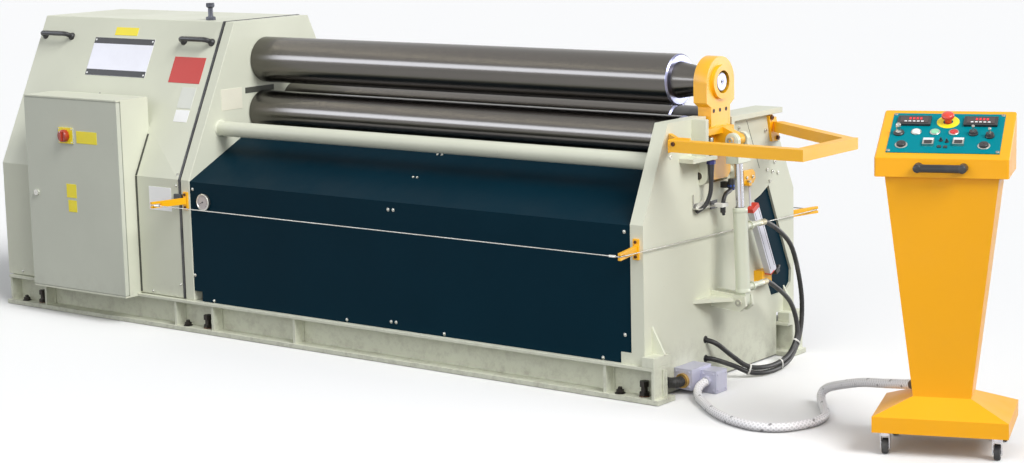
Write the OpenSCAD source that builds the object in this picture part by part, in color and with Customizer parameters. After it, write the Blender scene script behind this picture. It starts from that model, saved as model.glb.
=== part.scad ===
// Three-roll plate rolling machine with a drop-end yoke and a control console on casters.
// +X runs along the rolls towards the drop end, +Y to the back, +Z up.
// The origin is on the floor under the middle of the base.

/* [Base] */
// Length of the base beyond the right frame
base_over = 67; // [50:1:80]
// Height of the base beams
base_h = 131; // [110:1:160]
// Width of one base beam over its flanges
beam_w = 110; // [90:2:130]
// Thickness of the beam flanges and web
beam_t = 12; // [8:1:16]
// Front edge of the base, ahead of the roll centre line
base_front = 495; // [480:5:520]
// Rear edge of the base, behind the roll centre line
base_rear = 520; // [505:5:560]
// Width of one cross member
cross_w = 80; // [60:5:120]
// Thread diameter of the levelling bolts
level_bolt_d = 24; // [16:1:30]
// Diameter of the floor anchor holes
anchor_d = 26; // [22:1:30]

/* [Side frames] */
// Overall depth from the centre line to the front face
frame_front = 477; // [465:1:490]
// Overall depth from the centre line to the rear face
frame_rear = 540; // [525:5:560]
// Height of the fold where the front face starts to lean back
crease_z = 630; // [600:5:680]
// Angle of the leaning front face from the vertical
lean = 25.5; // [22:0.5:28]
// Height of the left frame and the drive housing above the top roll axis
left_over_roll = 168; // [150:1:200]
// Height of the right frame beside the yoke
right_top_z = 970; // [950:1:985]
// Thickness of the left frame plate
left_frame_t = 50; // [40:1:56]
// Thickness of the right frame plate
right_frame_t = 55; // [45:1:60]
// Distance that the ribs and flanges stand out from the right frame
rib_out = 60; // [40:1:64]

/* [Rolls] */
// Length of the roll barrels
barrel_len = 2092; // [1900:2:2100]
// Diameter of the top roll
top_roll_d = 190; // [180:1:196]
// Diameter of the two lower rolls
low_roll_d = 176; // [160:1:178]
// Height of the top roll axis
top_roll_z = 1089; // [1085:1:1100]
// Height of the front roll axis
front_roll_z = 873; // [865:1:876]
// Front roll axis, forward of the top roll axis
front_roll_y = 27; // [20:1:40]
// Height of the rear roll axis
rear_roll_z = 893; // [885:1:900]
// Rear roll axis, behind the top roll axis
rear_roll_y = 172; // [165:1:185]
// Space between the end of the barrels and the right frame
end_gap = 98; // [90:1:120]
// Diameter of the lower roll journals
low_journal_d = 110; // [90:2:120]
// Diameter of the top roll journal in the left frame
top_journal_d = 140; // [120:2:150]
// Radial running clearance of journals and pins
run_gap = 0.05; // [0.02:0.01:0.08]

/* [Drop end] */
// Thickness of the yoke along the rolls
yoke_t = 56; // [48:1:60]
// Distance that the yoke stands out from the right frame
yoke_out = 18; // [14:1:24]
// Width of the yoke neck
yoke_w = 126; // [110:2:130]
// Radius of the yoke head
yoke_head_r = 92; // [86:1:98]
// Outer radius of the raised ring round the roll end
ring_r = 61; // [58:1:68]
// Height that the ring stands out
ring_h = 12; // [8:1:14]
// Height of the hinge axis
hinge_z = 760; // [754:1:766]
// Hinge axis, in from the outer face of the yoke
hinge_in = 17; // [15:1:20]
// Diameter of the hinge pin
hinge_pin_d = 28; // [24:1:32]
// Gap between the yoke and the frame slot on each side
slot_gap = 7; // [6:1:12]
// Diameter of the cylinder barrel
cyl_d = 52; // [46:1:66]
// Diameter of the piston rod
rod_d = 30; // [25:1:36]
// Length of the cylinder barrel
cyl_len = 306; // [280:2:330]
// Diameter of the pins at the two cylinder ends
cyl_pin_d = 20; // [16:1:24]
// Radial play of the slotted upper pin hole
open_play = 7; // [6.5:0.5:9]

/* [Drive housing] */
// Length of the drive housing
housing_len = 1113; // [1050:1:1150]
// Thickness of the black seal between housing and left frame
seal_t = 12; // [6:1:14]

/* [Electrical cabinet] */
// Width of the cabinet
cab_w = 580; // [540:1:620]
// Height of the cabinet
cab_h = 832; // [780:1:850]
// Depth of the cabinet
cab_d = 177; // [165:1:200]
// Distance that the cabinet stands out from the housing front
cab_out = 85; // [75:1:95]
// Wall thickness of the cabinet
cab_wall = 10; // [6:1:14]
// Thickness of the lips over and under the door
cab_lip = 6; // [5:1:10]
// Thickness of the door
door_t = 20; // [16:1:24]
// Gap over, under and behind the door
door_gap = 5; // [4:0.5:7]

/* [Covers and guards] */
// Diameter of the pressure gauge on the front cover
gauge_d = 68; // [50:1:80]
// Thickness of the cover sheets
sheet_t = 4; // [3:0.5:6]
// Outer diameter of the tie tubes
tie_d = 62; // [54:1:70]
// Width of the square guard bar
guard_w = 40; // [30:1:45]
// Reach of the guard beyond the right frame
guard_reach = 612; // [560:1:650]
// Diameter of the trip wire
wire_d = 4; // [3:0.5:5]

/* [Console] */
// Width of the console foot
con_base_w = 426; // [400:2:450]
// Depth of the console foot
con_base_d = 326; // [300:2:350]
// Height of the lower edge of the console foot
con_base_z = 77; // [75:1:90]
// Height of the upright rim of the console foot
con_lip_h = 51; // [40:1:60]
// Height of the pyramid on the console foot
con_pyr_h = 61; // [50:1:75]
// Height of the lower edge of the console head
con_head_z = 899; // [850:5:930]
// Width of the console head
con_head_w = 410; // [380:1:430]
// Depth of the console head
con_head_d = 240; // [230:1:250]
// Height of the front of the console head
con_head_front_h = 60; // [50:1:70]
// Height of the back of the console head
con_head_back_h = 181; // [160:1:200]
// Diameter of the caster wheels
wheel_d = 50; // [44:1:52]
// Width of the caster wheels
wheel_w = 20; // [16:1:22]
// Angle that the console is turned to face the operator
con_turn = 20; // [10:1:30]

/* [Hoses and conduit] */
// Diameter of the hydraulic hoses
hose_d = 18; // [14:1:18]
// Diameter of the braided conduit to the console
conduit_d = 31; // [26:1:34]
// Diameter of the black conduit under the base
base_conduit_d = 36; // [30:1:40]

/* [Hidden] */
$fn = 48;

// Colours
cream = [0.82, 0.84, 0.76];
navy = [0.03, 0.11, 0.15];
amber = [0.95, 0.68, 0.10];
steel = [0.42, 0.41, 0.40];
chrome = [0.80, 0.80, 0.82];
black = [0.06, 0.06, 0.06];
teal = [0.00, 0.58, 0.60];
door_grey = [0.66, 0.68, 0.62];
red = [0.80, 0.10, 0.08];
alu = [0.72, 0.72, 0.76];

// Places along X, and the height of the housing
left_top_z = top_roll_z + left_over_roll;
roll_x0 = -566;
roll_x1 = roll_x0 + barrel_len;
left_in_x = roll_x0 - 4;
left_out_x = left_in_x - left_frame_t;
seal_x = left_out_x - seal_t;
housing_x1 = seal_x - 2;
housing_x0 = housing_x1 - housing_len;
right_in_x = roll_x1 + end_gap;
right_out_x = right_in_x + right_frame_t;
yoke_x1 = right_out_x + yoke_out;
yoke_x0 = yoke_x1 - yoke_t;
base_x0 = housing_x0 + 1;
base_x1 = right_out_x + base_over;
base_end = base_x1 - 16;
base_start = base_x0 + 20;
flange_t = 18;
web_in = 65;
hinge_x = yoke_x1 - hinge_in;

// Heights and depths that several pieces share
slope_run = tan(lean);
frame_bottom = 5;
tie_y = -282;
tie_z = 825;
yoke_bottom = hinge_z - 22;
slot_w = yoke_w + 2 * slot_gap;
slot_bottom = yoke_bottom - 13;
cheek_top_z = hinge_z + 40;
function lean_y(z) = -frame_front + (z - crease_z) * slope_run;

// Cylinder geometry: pin centres at rest, in X and Z, and the plane it works in
cyl_y = -20;
top_pin = [hinge_x + 101, hinge_z + 127];
low_pin = [hinge_x + 121, hinge_z - 462];
cyl_tilt = atan((top_pin[0] - low_pin[0]) / (top_pin[1] - low_pin[1]));
pin_dist = norm(top_pin - low_pin);
cyl_foot = 35;

// Cabinet places
cab_x1 = housing_x1 - 259;
cab_x0 = cab_x1 - cab_w;
cab_z0 = 120;
cab_z1 = cab_z0 + cab_h;
cab_y0 = -frame_front - cab_out;
cab_y1 = cab_y0 + cab_d;
door_z0 = cab_z0 + cab_lip + door_gap;
door_z1 = cab_z1 - cab_lip - door_gap;

switch_x = cab_x0 + 263;
switch_z = cab_z1 - 162;
lock_z = cab_z0 + 413;

// Console places
con_x = 2819;
con_y = -437;
pyr_z = con_base_z + con_lip_h + con_pyr_h;
head_front_y = -189;
head_back_y = head_front_y + con_head_d;
panel_tilt = atan((con_head_back_h - con_head_front_h) / con_head_d);
caster_x = 175;
caster_y = 127;
caster_trail = 10;

// Helpers --------------------------------------------------------------

// Plate with its outline in Y and Z, between two places along X
module yz(x0, x1) {
    translate([x0, 0, 0]) rotate([90, 0, 90]) linear_extrude(x1 - x0) children();
}

// Plate with its outline in X and Z, between two places along Y
module xz(y0, y1) {
    translate([0, y1, 0]) rotate([90, 0, 0]) linear_extrude(y1 - y0) children();
}

// Box between two corners
module box(a, b) {
    translate(a) cube(b - a);
}

// Round bar along X, Y or Z
module bar_x(x0, x1, y, z, d) {
    translate([x0, y, z]) rotate([0, 90, 0]) cylinder(d = d, h = x1 - x0);
}
module bar_y(y0, y1, x, z, d) {
    translate([x, y0, z]) rotate([-90, 0, 0]) cylinder(d = d, h = y1 - y0);
}
module bar_z(z0, z1, x, y, d) {
    translate([x, y, z0]) cylinder(d = d, h = z1 - z0);
}

// Straight round bar between any two points
module rod_between(a, b, d) {
    v = b - a;
    translate(a)
        rotate([0, acos(v[2] / norm(v)), atan2(v[1], v[0])])
            cylinder(d = d, h = norm(v));
}

// Smooth curve through chosen points, and a tube swept along it
function curve_at(p, i, t) =
    let (a = p[max(i - 1, 0)], b = p[i], c = p[i + 1], d = p[min(i + 2, len(p) - 1)])
    0.5 * ((2 * b) + (c - a) * t + (2 * a - 5 * b + 4 * c - d) * t * t
        + (3 * b - a - 3 * c + d) * t * t * t);
function curve(p, steps) = concat(
    [for (i = [0 : len(p) - 2], k = [0 : steps - 1]) curve_at(p, i, k / steps)],
    [p[len(p) - 1]]);
function unit(v) = v / norm(v);
function heading(p, i) = unit(p[min(i + 1, len(p) - 1)] - p[max(i - 1, 0)]);
function across(n, t) = unit(n - (n * t) * t);
function normals(p, i = 0, n = [0.3, 0.2, 1]) = i == len(p) ? [] :
    let (m = across(n, heading(p, i))) concat([m], normals(p, i + 1, m));
module tube(p, d, sides = 10) {
    n = normals(p);
    rings = [for (i = [0 : len(p) - 1], k = [0 : sides - 1])
        let (t = heading(p, i), a = 360 * k / sides)
        p[i] + d / 2 * (cos(a) * n[i] + sin(a) * cross(t, n[i]))];
    walls = [for (i = [0 : len(p) - 2], k = [0 : sides - 1])
        let (a = i * sides, b = a + sides, j = (k + 1) % sides)
        [a + k, b + k, b + j, a + j]];
    end0 = [[for (k = [0 : sides - 1]) k]];
    end1 = [[for (k = [0 : sides - 1]) len(p) * sides - 1 - k]];
    polyhedron(rings, concat(walls, end0, end1), convexity = 6);
}

// Base -----------------------------------------------------------------

// I-section beam lying along X with stiffening ribs in its open front
module base_beam(y0, hole_y, ribs) {
    web_y = y0 + (y0 > 0 ? beam_w - web_in : web_in);
    difference() {
        union() {
            box([base_x0, y0, 0], [base_x1, y0 + beam_w, flange_t]);
            box([base_start, web_y - beam_t / 2, 0], [base_end, web_y + beam_t / 2, base_h]);
            box([base_start, y0, base_h - beam_t], [base_end, y0 + beam_w, base_h]);
        }
        for (x = anchor_x)
            bar_z(-1, flange_t + 1, x, hole_y, anchor_d);
    }
    for (x = ribs)
        box([x - beam_t / 2, y0 + (y0 > 0 && x > right_out_x ? 36 : x > right_out_x ? 0 : 6), beam_t - 1],
            [x + beam_t / 2, y0 + beam_w - (y0 > 0 && x > right_out_x ? 0 : x > right_out_x ? 36 : 6),
                base_h - beam_t + 1]);
}
base_ribs = [base_start + beam_t / 2, base_x0 + 253, left_out_x - 55, left_in_x + 112,
    0, right_in_x - 110, base_end - beam_t / 2];

// Floor anchors: one row along the front flange and one along the rear
anchor_in = 27;
anchor_x = [base_x0 + 100, left_out_x - 4, right_in_x - 58];

// Foot block that carries one corner of the right frame
foot_h = 37;
module foot_block(y0, y1) {
    box([right_out_x, y0, base_h], [base_end, y1, base_h + foot_h]);
}

module base_front_beam() {
    color(cream) base_beam(-base_front, -base_front + anchor_in, base_ribs);
}

module base_rear_beam() {
    color(cream) base_beam(base_rear - beam_w, base_rear - anchor_in, base_ribs);
}

module base_cross_members() {
    color(cream)
        for (x = [base_x0 + 110, left_out_x + left_frame_t / 2, 0, right_in_x - 110])
            box([x - cross_w / 2, -base_front + beam_w, 0],
                [x + cross_w / 2, base_rear - beam_w, base_h - beam_t]);
}

// Levelling bolts through the bottom flange, each with its locknut and pad
bolt_in = 35;
bolt_x = [base_x0 + 202, left_in_x + 56, right_out_x - 14];
module levelling_bolts() {
    color(steel)
        for (x = bolt_x, y = [-base_front + bolt_in, base_rear - bolt_in]) {
            bar_z(flange_t, flange_t + 56, x, y, level_bolt_d);
            translate([x, y, flange_t]) cylinder(r = level_bolt_d * 0.82, h = 16, $fn = 6);
            translate([x, y, flange_t + 36]) cylinder(r = level_bolt_d * 0.75, h = 20, $fn = 6);
        }
}

// Side frames ------------------------------------------------------------

// Outline of the tall left frame and of the drive housing behind it
module tall_outline(z0) {
    polygon([
        [-frame_front, z0], [-frame_front, crease_z], [lean_y(left_top_z), left_top_z],
        [267, left_top_z], [frame_rear, crease_z + 60], [frame_rear, z0]]);
}

module left_frame() {
    color(cream) difference() {
        yz(left_out_x, left_in_x) tall_outline(base_h);
        bar_x(left_out_x - 1, left_in_x + 1, 0, top_roll_z, top_journal_d + 2 * run_gap);
        bar_x(left_out_x - 1, left_in_x + 1, -front_roll_y, front_roll_z, low_journal_d + 2 * run_gap);
        bar_x(left_out_x - 1, left_in_x + 1, rear_roll_y, rear_roll_z, low_journal_d + 2 * run_gap);
    }
}

// Right frame: slotted for the yoke, with a slanted window at the back
rear_shoulder_z = crease_z + 2;
rear_top_z = right_top_z - 15;
rear_top_y = 385;
top_plate_t = 20;
cable_hole_y = -348;
cable_z = 49;
hose_hole_y = -86;
hose_hole_z = [84, 155];
bearing_depth = 40;
window = [[255, 622], [300, 636], [358, 666], [430, 508], [521, 319], [517, 268],
    [480, 240], [375, 238], [345, 300]];
module right_frame() {
    color(cream) difference() {
        yz(right_in_x, right_out_x) polygon([
            [-frame_front, base_h], [-frame_front, crease_z], [lean_y(right_top_z), right_top_z],
            [0, right_top_z], [0, rear_top_z - top_plate_t], [rear_top_y, rear_top_z - top_plate_t],
            [frame_rear, rear_shoulder_z], [frame_rear, base_h + foot_h],
            [base_rear - beam_w, base_h + foot_h], [base_rear - beam_w, frame_bottom],
            [-base_front + beam_w, frame_bottom], [-base_front + beam_w, base_h]]);
        box([right_in_x - 1, -slot_w / 2, slot_bottom], [right_out_x + 1, slot_w / 2, right_top_z + 1]);
        yz(right_in_x - 1, right_out_x + 1) polygon(window);
        for (z = hose_hole_z)
            bar_x(right_in_x - 1, right_out_x + 1, hose_hole_y, z, hose_d + 8);
        bar_x(right_in_x - 1, right_out_x + 1, cable_hole_y, cable_z, base_conduit_d + 10);
        bar_x(right_in_x - 1, right_in_x + bearing_depth, rear_roll_y, rear_roll_z,
            rear_journal_d + 2 * run_gap);
        bar_y(-cheek_y1 - 8, cheek_y1 + 8, hinge_x, hinge_z, hinge_pin_d + 2);
    }
}

// Ribs and flanges on the outer face of the right frame
ledge_z = 822;
ledge_t = 15;
rib_t = 20;
rib_y = 165;
rear_rib_out = 21;
cheek_y0 = 88;
cheek_y1 = 118;
switch_at = [right_out_x + 45, -108];
module right_frame_ribs() {
    color(cream) {
        // upright plate ahead of the yoke, standing on a ledge
        box([right_out_x, -rib_y, ledge_z], [right_out_x + rib_out, -rib_y + rib_t, right_top_z]);
        difference() {
            box([right_out_x, -245, ledge_z], [right_out_x + rib_out, -cheek_y0, ledge_z + ledge_t]);
            bar_z(ledge_z - 1, ledge_z + ledge_t + 1, switch_at[0], switch_at[1], 22);
        }
        // rib behind the yoke, under a wide top plate
        box([right_out_x, slot_w / 2, cheek_top_z], [right_out_x + rear_rib_out, slot_w / 2 + rib_t,
            rear_top_z - top_plate_t]);
        box([right_in_x - 44, slot_w / 2, rear_top_z - top_plate_t],
            [right_out_x + rear_rib_out, rear_top_y + 42, rear_top_z]);
        // feet on the base beams, each with a web plate
        foot_block(-base_front, -base_front + 100);
        foot_block(base_rear - beam_w + 10, base_rear);
        for (y = [-420, base_rear - 50])
            xz(y - 10, y) polygon([[right_out_x, base_h + foot_h], [right_out_x + 55, base_h + foot_h],
                [right_out_x, base_h + foot_h + 98]]);
    }
}

// Inner plate that carries the right journal of the front roll, on a block beside the slot
bearing_t = 34;
bearing_x1 = right_in_x - 12;
bearing_top_z = right_top_z - 34;
module lower_roll_bearings() {
    color(cream) difference() {
        union() {
            yz(bearing_x1 - bearing_t, bearing_x1) polygon([
                [-180, 795], [-180, 900], [-130, bearing_top_z], [70, bearing_top_z], [70, 795]]);
            box([bearing_x1, -180, 795], [right_in_x, -slot_w / 2 - 6, 890]);
        }
        bar_x(bearing_x1 - bearing_t - 1, bearing_x1 + 1, -front_roll_y, front_roll_z,
            low_journal_d + 2 * run_gap);
        bar_x(bearing_x1 - 1, right_in_x + 1, -front_roll_y, front_roll_z, low_journal_d + 20);
    }
}

// Round tubes that tie the two frames together, front and rear
module tie_tubes() {
    color(cream) {
        bar_x(left_in_x, right_in_x, tie_y, tie_z, tie_d);
        bar_x(left_in_x, right_in_x, 360, 830, tie_d);
    }
}

// Rolls --------------------------------------------------------------------

// Top roll: barrel, left journal, and the tapered right end that sits in the yoke
taper_root = 68;
taper_mouth = 46;
roll_tip = 33;
tip_x = yoke_x1 + 5;
edge = 6;
module top_roll() {
    color(steel) {
        bar_x(left_out_x + 2, roll_x0, 0, top_roll_z, top_journal_d);
        bar_x(roll_x0, roll_x1 - edge, 0, top_roll_z, top_roll_d);
        translate([roll_x1 - edge, 0, top_roll_z]) rotate([0, 90, 0])
            cylinder(d1 = top_roll_d, d2 = top_roll_d - 2 * edge, h = edge);
        translate([roll_x1, 0, top_roll_z]) rotate([0, 90, 0])
            cylinder(r1 = taper_root, r2 = taper_mouth, h = yoke_x0 - roll_x1);
        translate([yoke_x0, 0, top_roll_z]) rotate([0, 90, 0])
            cylinder(r1 = taper_mouth, r2 = roll_tip, h = tip_x - yoke_x0);
    }
}

// Lower roll with its left journal; the barrel ends in a small edge
module lower_roll(y, z, x1) {
    bar_x(left_out_x + 2, roll_x0, y, z, low_journal_d);
    bar_x(roll_x0, x1 - edge, y, z, low_roll_d);
    translate([x1 - edge, y, z]) rotate([0, 90, 0])
        cylinder(d1 = low_roll_d, d2 = low_roll_d - 2 * edge, h = edge);
}

front_roll_x1 = roll_x1 + 34;
module front_roll() {
    color(steel) {
        lower_roll(-front_roll_y, front_roll_z, front_roll_x1);
        bar_x(front_roll_x1, bearing_x1 - 1, -front_roll_y, front_roll_z, low_journal_d);
    }
}

// The rear roll is turned down a little over its right end
rear_roll_x1 = roll_x1 - 118;
rear_neck_d = low_roll_d - 16;
rear_journal_d = 74;
module rear_roll() {
    color(steel) {
        lower_roll(rear_roll_y, rear_roll_z, rear_roll_x1);
        bar_x(rear_roll_x1, front_roll_x1, rear_roll_y, rear_roll_z, rear_neck_d);
        bar_x(front_roll_x1, right_in_x + bearing_depth - 1, rear_roll_y, rear_roll_z, rear_journal_d);
    }
}

// Drop end -----------------------------------------------------------------

// Yoke: round head on a straight neck, with the tapered seat for the roll end
shoulder_z = top_roll_z - 70;
seat_gap = 6;
module yoke() {
    color(amber) difference() {
        union() {
            bar_x(yoke_x0, yoke_x1, 0, top_roll_z, 2 * yoke_head_r);
            yz(yoke_x0, yoke_x1) polygon([
                [-yoke_w / 2, yoke_bottom + 18], [-yoke_w / 2 + 18, yoke_bottom],
                [yoke_w / 2 - 18, yoke_bottom], [yoke_w / 2, yoke_bottom + 18],
                [yoke_w / 2, shoulder_z - 18], [yoke_head_r, shoulder_z], [yoke_head_r, top_roll_z],
                [-yoke_head_r, top_roll_z], [-yoke_head_r, shoulder_z], [-yoke_w / 2, shoulder_z - 18]]);
            bar_x(yoke_x1 - 1, yoke_x1 + ring_h, 0, top_roll_z, 2 * ring_r);
        }
        translate([yoke_x0 - 1, 0, top_roll_z]) rotate([0, 90, 0])
            cylinder(r1 = taper_mouth + seat_gap, r2 = roll_tip + seat_gap + 2, h = yoke_t + ring_h + 2);
        bar_y(-yoke_w, yoke_w, hinge_x, hinge_z, hinge_pin_d + 2 * run_gap);
        for (y = [-46, -5, 36])
            bar_x(yoke_x1 - 20, yoke_x1 + 1, y, shoulder_z - 31, 12);
    }
}

// Lever on the yoke's outer face, with the pin that the cylinder pushes
lever_t = 34;
lever_top = 44;
module yoke_lever() {
    color(amber) {
        box([yoke_x1, -138, top_pin[1] + 22], [yoke_x1 + 30, yoke_w / 2 - 22, top_pin[1] + lever_top]);
        xz(cyl_y - lever_t / 2, cyl_y + lever_t / 2) {
            polygon([[yoke_x1, top_pin[1] - 60], [yoke_x1, top_pin[1] + lever_top],
                [yoke_x1 + 32, top_pin[1] + lever_top], [top_pin[0] + 12, top_pin[1] + 18],
                [top_pin[0] + 12, top_pin[1] - 18]]);
            translate(top_pin) circle(r = 22);
        }
        bar_y(cyl_y - 50, cyl_y + 50, top_pin[0], top_pin[1], cyl_pin_d);
        for (s = [-1, 1])
            bar_y(cyl_y + s * 50 - 3, cyl_y + s * 50 + 3, top_pin[0], top_pin[1], 24);
    }
}

// Two cheeks with round lower ends, and the pin that the yoke turns on
cheek_r = 34;
module hinge_bracket() {
    color(cream) {
        for (y = [-cheek_y1, cheek_y0])
            difference() {
                xz(y, y + cheek_y1 - cheek_y0) {
                    translate([hinge_x, hinge_z]) circle(r = cheek_r);
                    translate([right_out_x, hinge_z]) square([hinge_x + cheek_r - right_out_x,
                        (y < 0 ? ledge_z : cheek_top_z) - hinge_z]);
                }
                box([right_out_x - 60, y - 1, hinge_z - 60], [right_out_x, y + 60, hinge_z + 60]);
            }
        bar_y(-cheek_y1 - 4, cheek_y1 + 4, hinge_x, hinge_z, hinge_pin_d);
    }
}

// Hydraulic cylinder, built upright about its lower pin and then tilted
module in_cylinder_frame() {
    translate([low_pin[0], cyl_y, low_pin[1]]) rotate([0, cyl_tilt, 0]) children();
}
port_y = 138;
ports = [cyl_foot + 12, cyl_foot + cyl_len - 72];
module cylinder_barrel() {
    color(cream) in_cylinder_frame() difference() {
        union() {
            bar_z(cyl_foot, cyl_foot + cyl_len, 0, 0, cyl_d);
            translate([-20, -16, 0]) cube([40, 32, cyl_foot + 1]);
            bar_y(-16, 16, 0, 0, 40);
            for (z = ports) {
                bar_y(0, 62, 0, z, 24);
                bar_y(58, 66, 0, z, 34);
                bar_y(66, port_y, 0, z, 20);
            }
        }
        bar_y(-20, 20, 0, 0, cyl_pin_d + 2 * run_gap);
        bar_z(cyl_foot + 30, cyl_foot + cyl_len + 1, 0, 0, rod_d + 2 * run_gap);
    }
}

fork_w = 54;
fork_base = 84;
module cylinder_rod() {
    color(chrome) in_cylinder_frame()
        bar_z(cyl_foot + cyl_len - 130, pin_dist - fork_base, 0, 0, rod_d);
}

// Fork on the rod end; its hole is wide so that the pin can follow its arc
module rod_clevis() {
    color(cream) in_cylinder_frame() difference() {
        union() {
            translate([-fork_w / 2, -42, pin_dist - fork_base]) cube([fork_w, 84, 42]);
            for (y = [-42, 22]) {
                translate([-fork_w / 2, y, pin_dist - fork_base]) cube([fork_w, 20, fork_base]);
                bar_y(y, y + 20, 0, pin_dist, fork_w);
            }
        }
        bar_y(-60, 60, 0, pin_dist, cyl_pin_d + 2 * open_play);
    }
}

// Lower bracket of the cylinder: two cheeks, a stiffener and the pin
module cylinder_bracket() {
    color(cream) {
        for (y = [cyl_y - 29, cyl_y + 17])
            xz(y, y + 12) polygon([[right_out_x, low_pin[1] - 26], [right_out_x, low_pin[1] + 34],
                [low_pin[0] + 22, low_pin[1] + 24], [low_pin[0] + 28, low_pin[1] - 12],
                [low_pin[0] + 4, low_pin[1] - 34]]);
        translate([0, 0, low_pin[1] + 2]) linear_extrude(14)
            polygon([[right_out_x, cyl_y - 145], [right_out_x, cyl_y - 29],
                [low_pin[0] - 24, cyl_y - 29], [low_pin[0] - 34, cyl_y - 43]]);
        bar_y(cyl_y - 34, cyl_y + 34, low_pin[0], low_pin[1], cyl_pin_d);
        for (s = [-1, 1])
            bar_y(cyl_y + s * 34 - 3, cyl_y + s * 34 + 3, low_pin[0], low_pin[1], 24);
    }
}

// Covers ---------------------------------------------------------------------

cover_y = -frame_front + 3;
cover_fold = 626;
cover_top = [-150, 782.5];
notch = [45, 172];
module front_cover() {
    color(navy) difference() {
        yz(left_in_x, right_in_x) polygon([
            [cover_y, base_h + 1], [cover_y, cover_fold], cover_top,
            [cover_top[0] + sheet_t, cover_top[1] - 2], [cover_y + sheet_t, cover_fold - 2],
            [cover_y + sheet_t, base_h + 1]]);
        box([left_in_x - 1, cover_y - 1, base_h], [left_in_x + notch[0], cover_y + sheet_t + 1, notch[1]]);
    }
}

rear_cover_y = frame_rear - 6;
rear_cover_top = crease_z + 180;
module rear_cover() {
    color(navy) yz(left_in_x, right_in_x) polygon([
        [rear_cover_y, base_h + foot_h], [rear_cover_y, crease_z], [rear_cover_y - 90, rear_cover_top],
        [rear_cover_y - 90 - sheet_t, rear_cover_top], [rear_cover_y - sheet_t, crease_z],
        [rear_cover_y - sheet_t, base_h + foot_h]]);
}

// Sheet that closes the slanted window of the right frame
window_in = 10;
module side_cover() {
    color(navy) yz(right_out_x - window_in - sheet_t, right_out_x - window_in) polygon(window);
}

// Drive housing ----------------------------------------------------------------

module drive_housing() {
    color(cream) difference() {
        yz(housing_x0, housing_x1) tall_outline(base_h + 3);
        box([cab_x0, cab_y0 - 1, cab_z0 - 1], [cab_x1, cab_y1, cab_z1 + 1]);
    }
}

module housing_seal() {
    color(black) yz(seal_x, left_out_x) offset_outline();
}
// The seal follows the frame outline, a little proud of it at the front
module offset_outline() {
    polygon([
        [-frame_front - 2, base_h + 3], [-frame_front - 2, crease_z],
        [lean_y(left_top_z) - 2, left_top_z + 2],
        [267, left_top_z + 2], [frame_rear, crease_z + 60], [frame_rear, base_h + 3]]);
}

// Grab handles on the leaning face of the housing
handle_z = left_top_z - 85;
handles = [[housing_x0 + 29, housing_x0 + 218], [housing_x1 - 204, housing_x1 - 21]];
module lid_handles() {
    color(black)
        for (h = handles)
            translate([0, lean_y(handle_z), handle_z]) rotate([-lean, 0, 0]) {
                bar_x(h[0], h[1], -34, 0, 22);
                for (x = [h[0] + 11, h[1] - 11])
                    bar_y(-34, 0, x, 0, 22);
            }
}

breather_x = left_out_x - 147;
breather_y = -119;
module oil_breather() {
    color(steel) {
        translate([breather_x, breather_y, left_top_z]) cylinder(r = 22, h = 14, $fn = 6);
        bar_z(left_top_z + 14, left_top_z + 54, breather_x, breather_y, 26);
        bar_z(left_top_z + 54, left_top_z + 72, breather_x, breather_y, 40);
    }
}

module pressure_gauge() {
    color(black)
        bar_y(cover_y - 10, cover_y, left_in_x + 82, 548, gauge_d);
}

// Electrical cabinet ---------------------------------------------------------------

door_pin_x = cab_x1 - 8;
door_pin_y = cab_y0 + 8;
door_pin_d = 8;
door_pin_in = 5;
module cabinet_body() {
    color(cream) difference() {
        box([cab_x0, cab_y0, cab_z0], [cab_x1, cab_y1, cab_z1]);
        // step over the top flange of the base
        box([cab_x0 - 1, -base_front - 1, cab_z0 - 1], [cab_x1 + 1, cab_y1 + 1, base_h]);
        // room for the door, which covers the whole front
        box([cab_x0 - 1, cab_y0 - 1, cab_z0 + cab_lip],
            [cab_x1 + 1, cab_y0 + door_t + door_gap, cab_z1 - cab_lip]);
        box([cab_x0 + cab_wall, cab_y0 + door_t + door_gap - 1, base_h + cab_wall],
            [cab_x1 - cab_wall, cab_y1 - cab_wall, cab_z1 - cab_wall]);
        bar_z(cab_z0 + cab_lip - door_pin_in, cab_z1 - cab_lip + door_pin_in, door_pin_x, door_pin_y,
            door_pin_d + 2 * run_gap);
    }
}

// Door with its lock and switch plate; it swings on pins near its right edge
module cabinet_door() {
    color(door_grey) {
        box([cab_x0, cab_y0, door_z0], [cab_x1, cab_y0 + door_t, door_z1]);
        bar_z(cab_z0 + cab_lip - door_pin_in + 1, cab_z1 - cab_lip + door_pin_in - 1,
            door_pin_x, door_pin_y, door_pin_d);
        bar_y(cab_y0 - 8, cab_y0 + 1, cab_x0 + 54, lock_z, 26);
        box([switch_x - 45, cab_y0 - 6, switch_z - 34], [switch_x + 45, cab_y0 + 1, switch_z + 34]);
    }
}

module main_switch() {
    color(red) {
        bar_y(cab_y0 - 22, cab_y0 - 6.5, switch_x, switch_z, 52);
        box([switch_x - 8, cab_y0 - 38, switch_z - 26], [switch_x + 8, cab_y0 - 21, switch_z + 26]);
    }
}

// Guards -----------------------------------------------------------------------------

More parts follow.
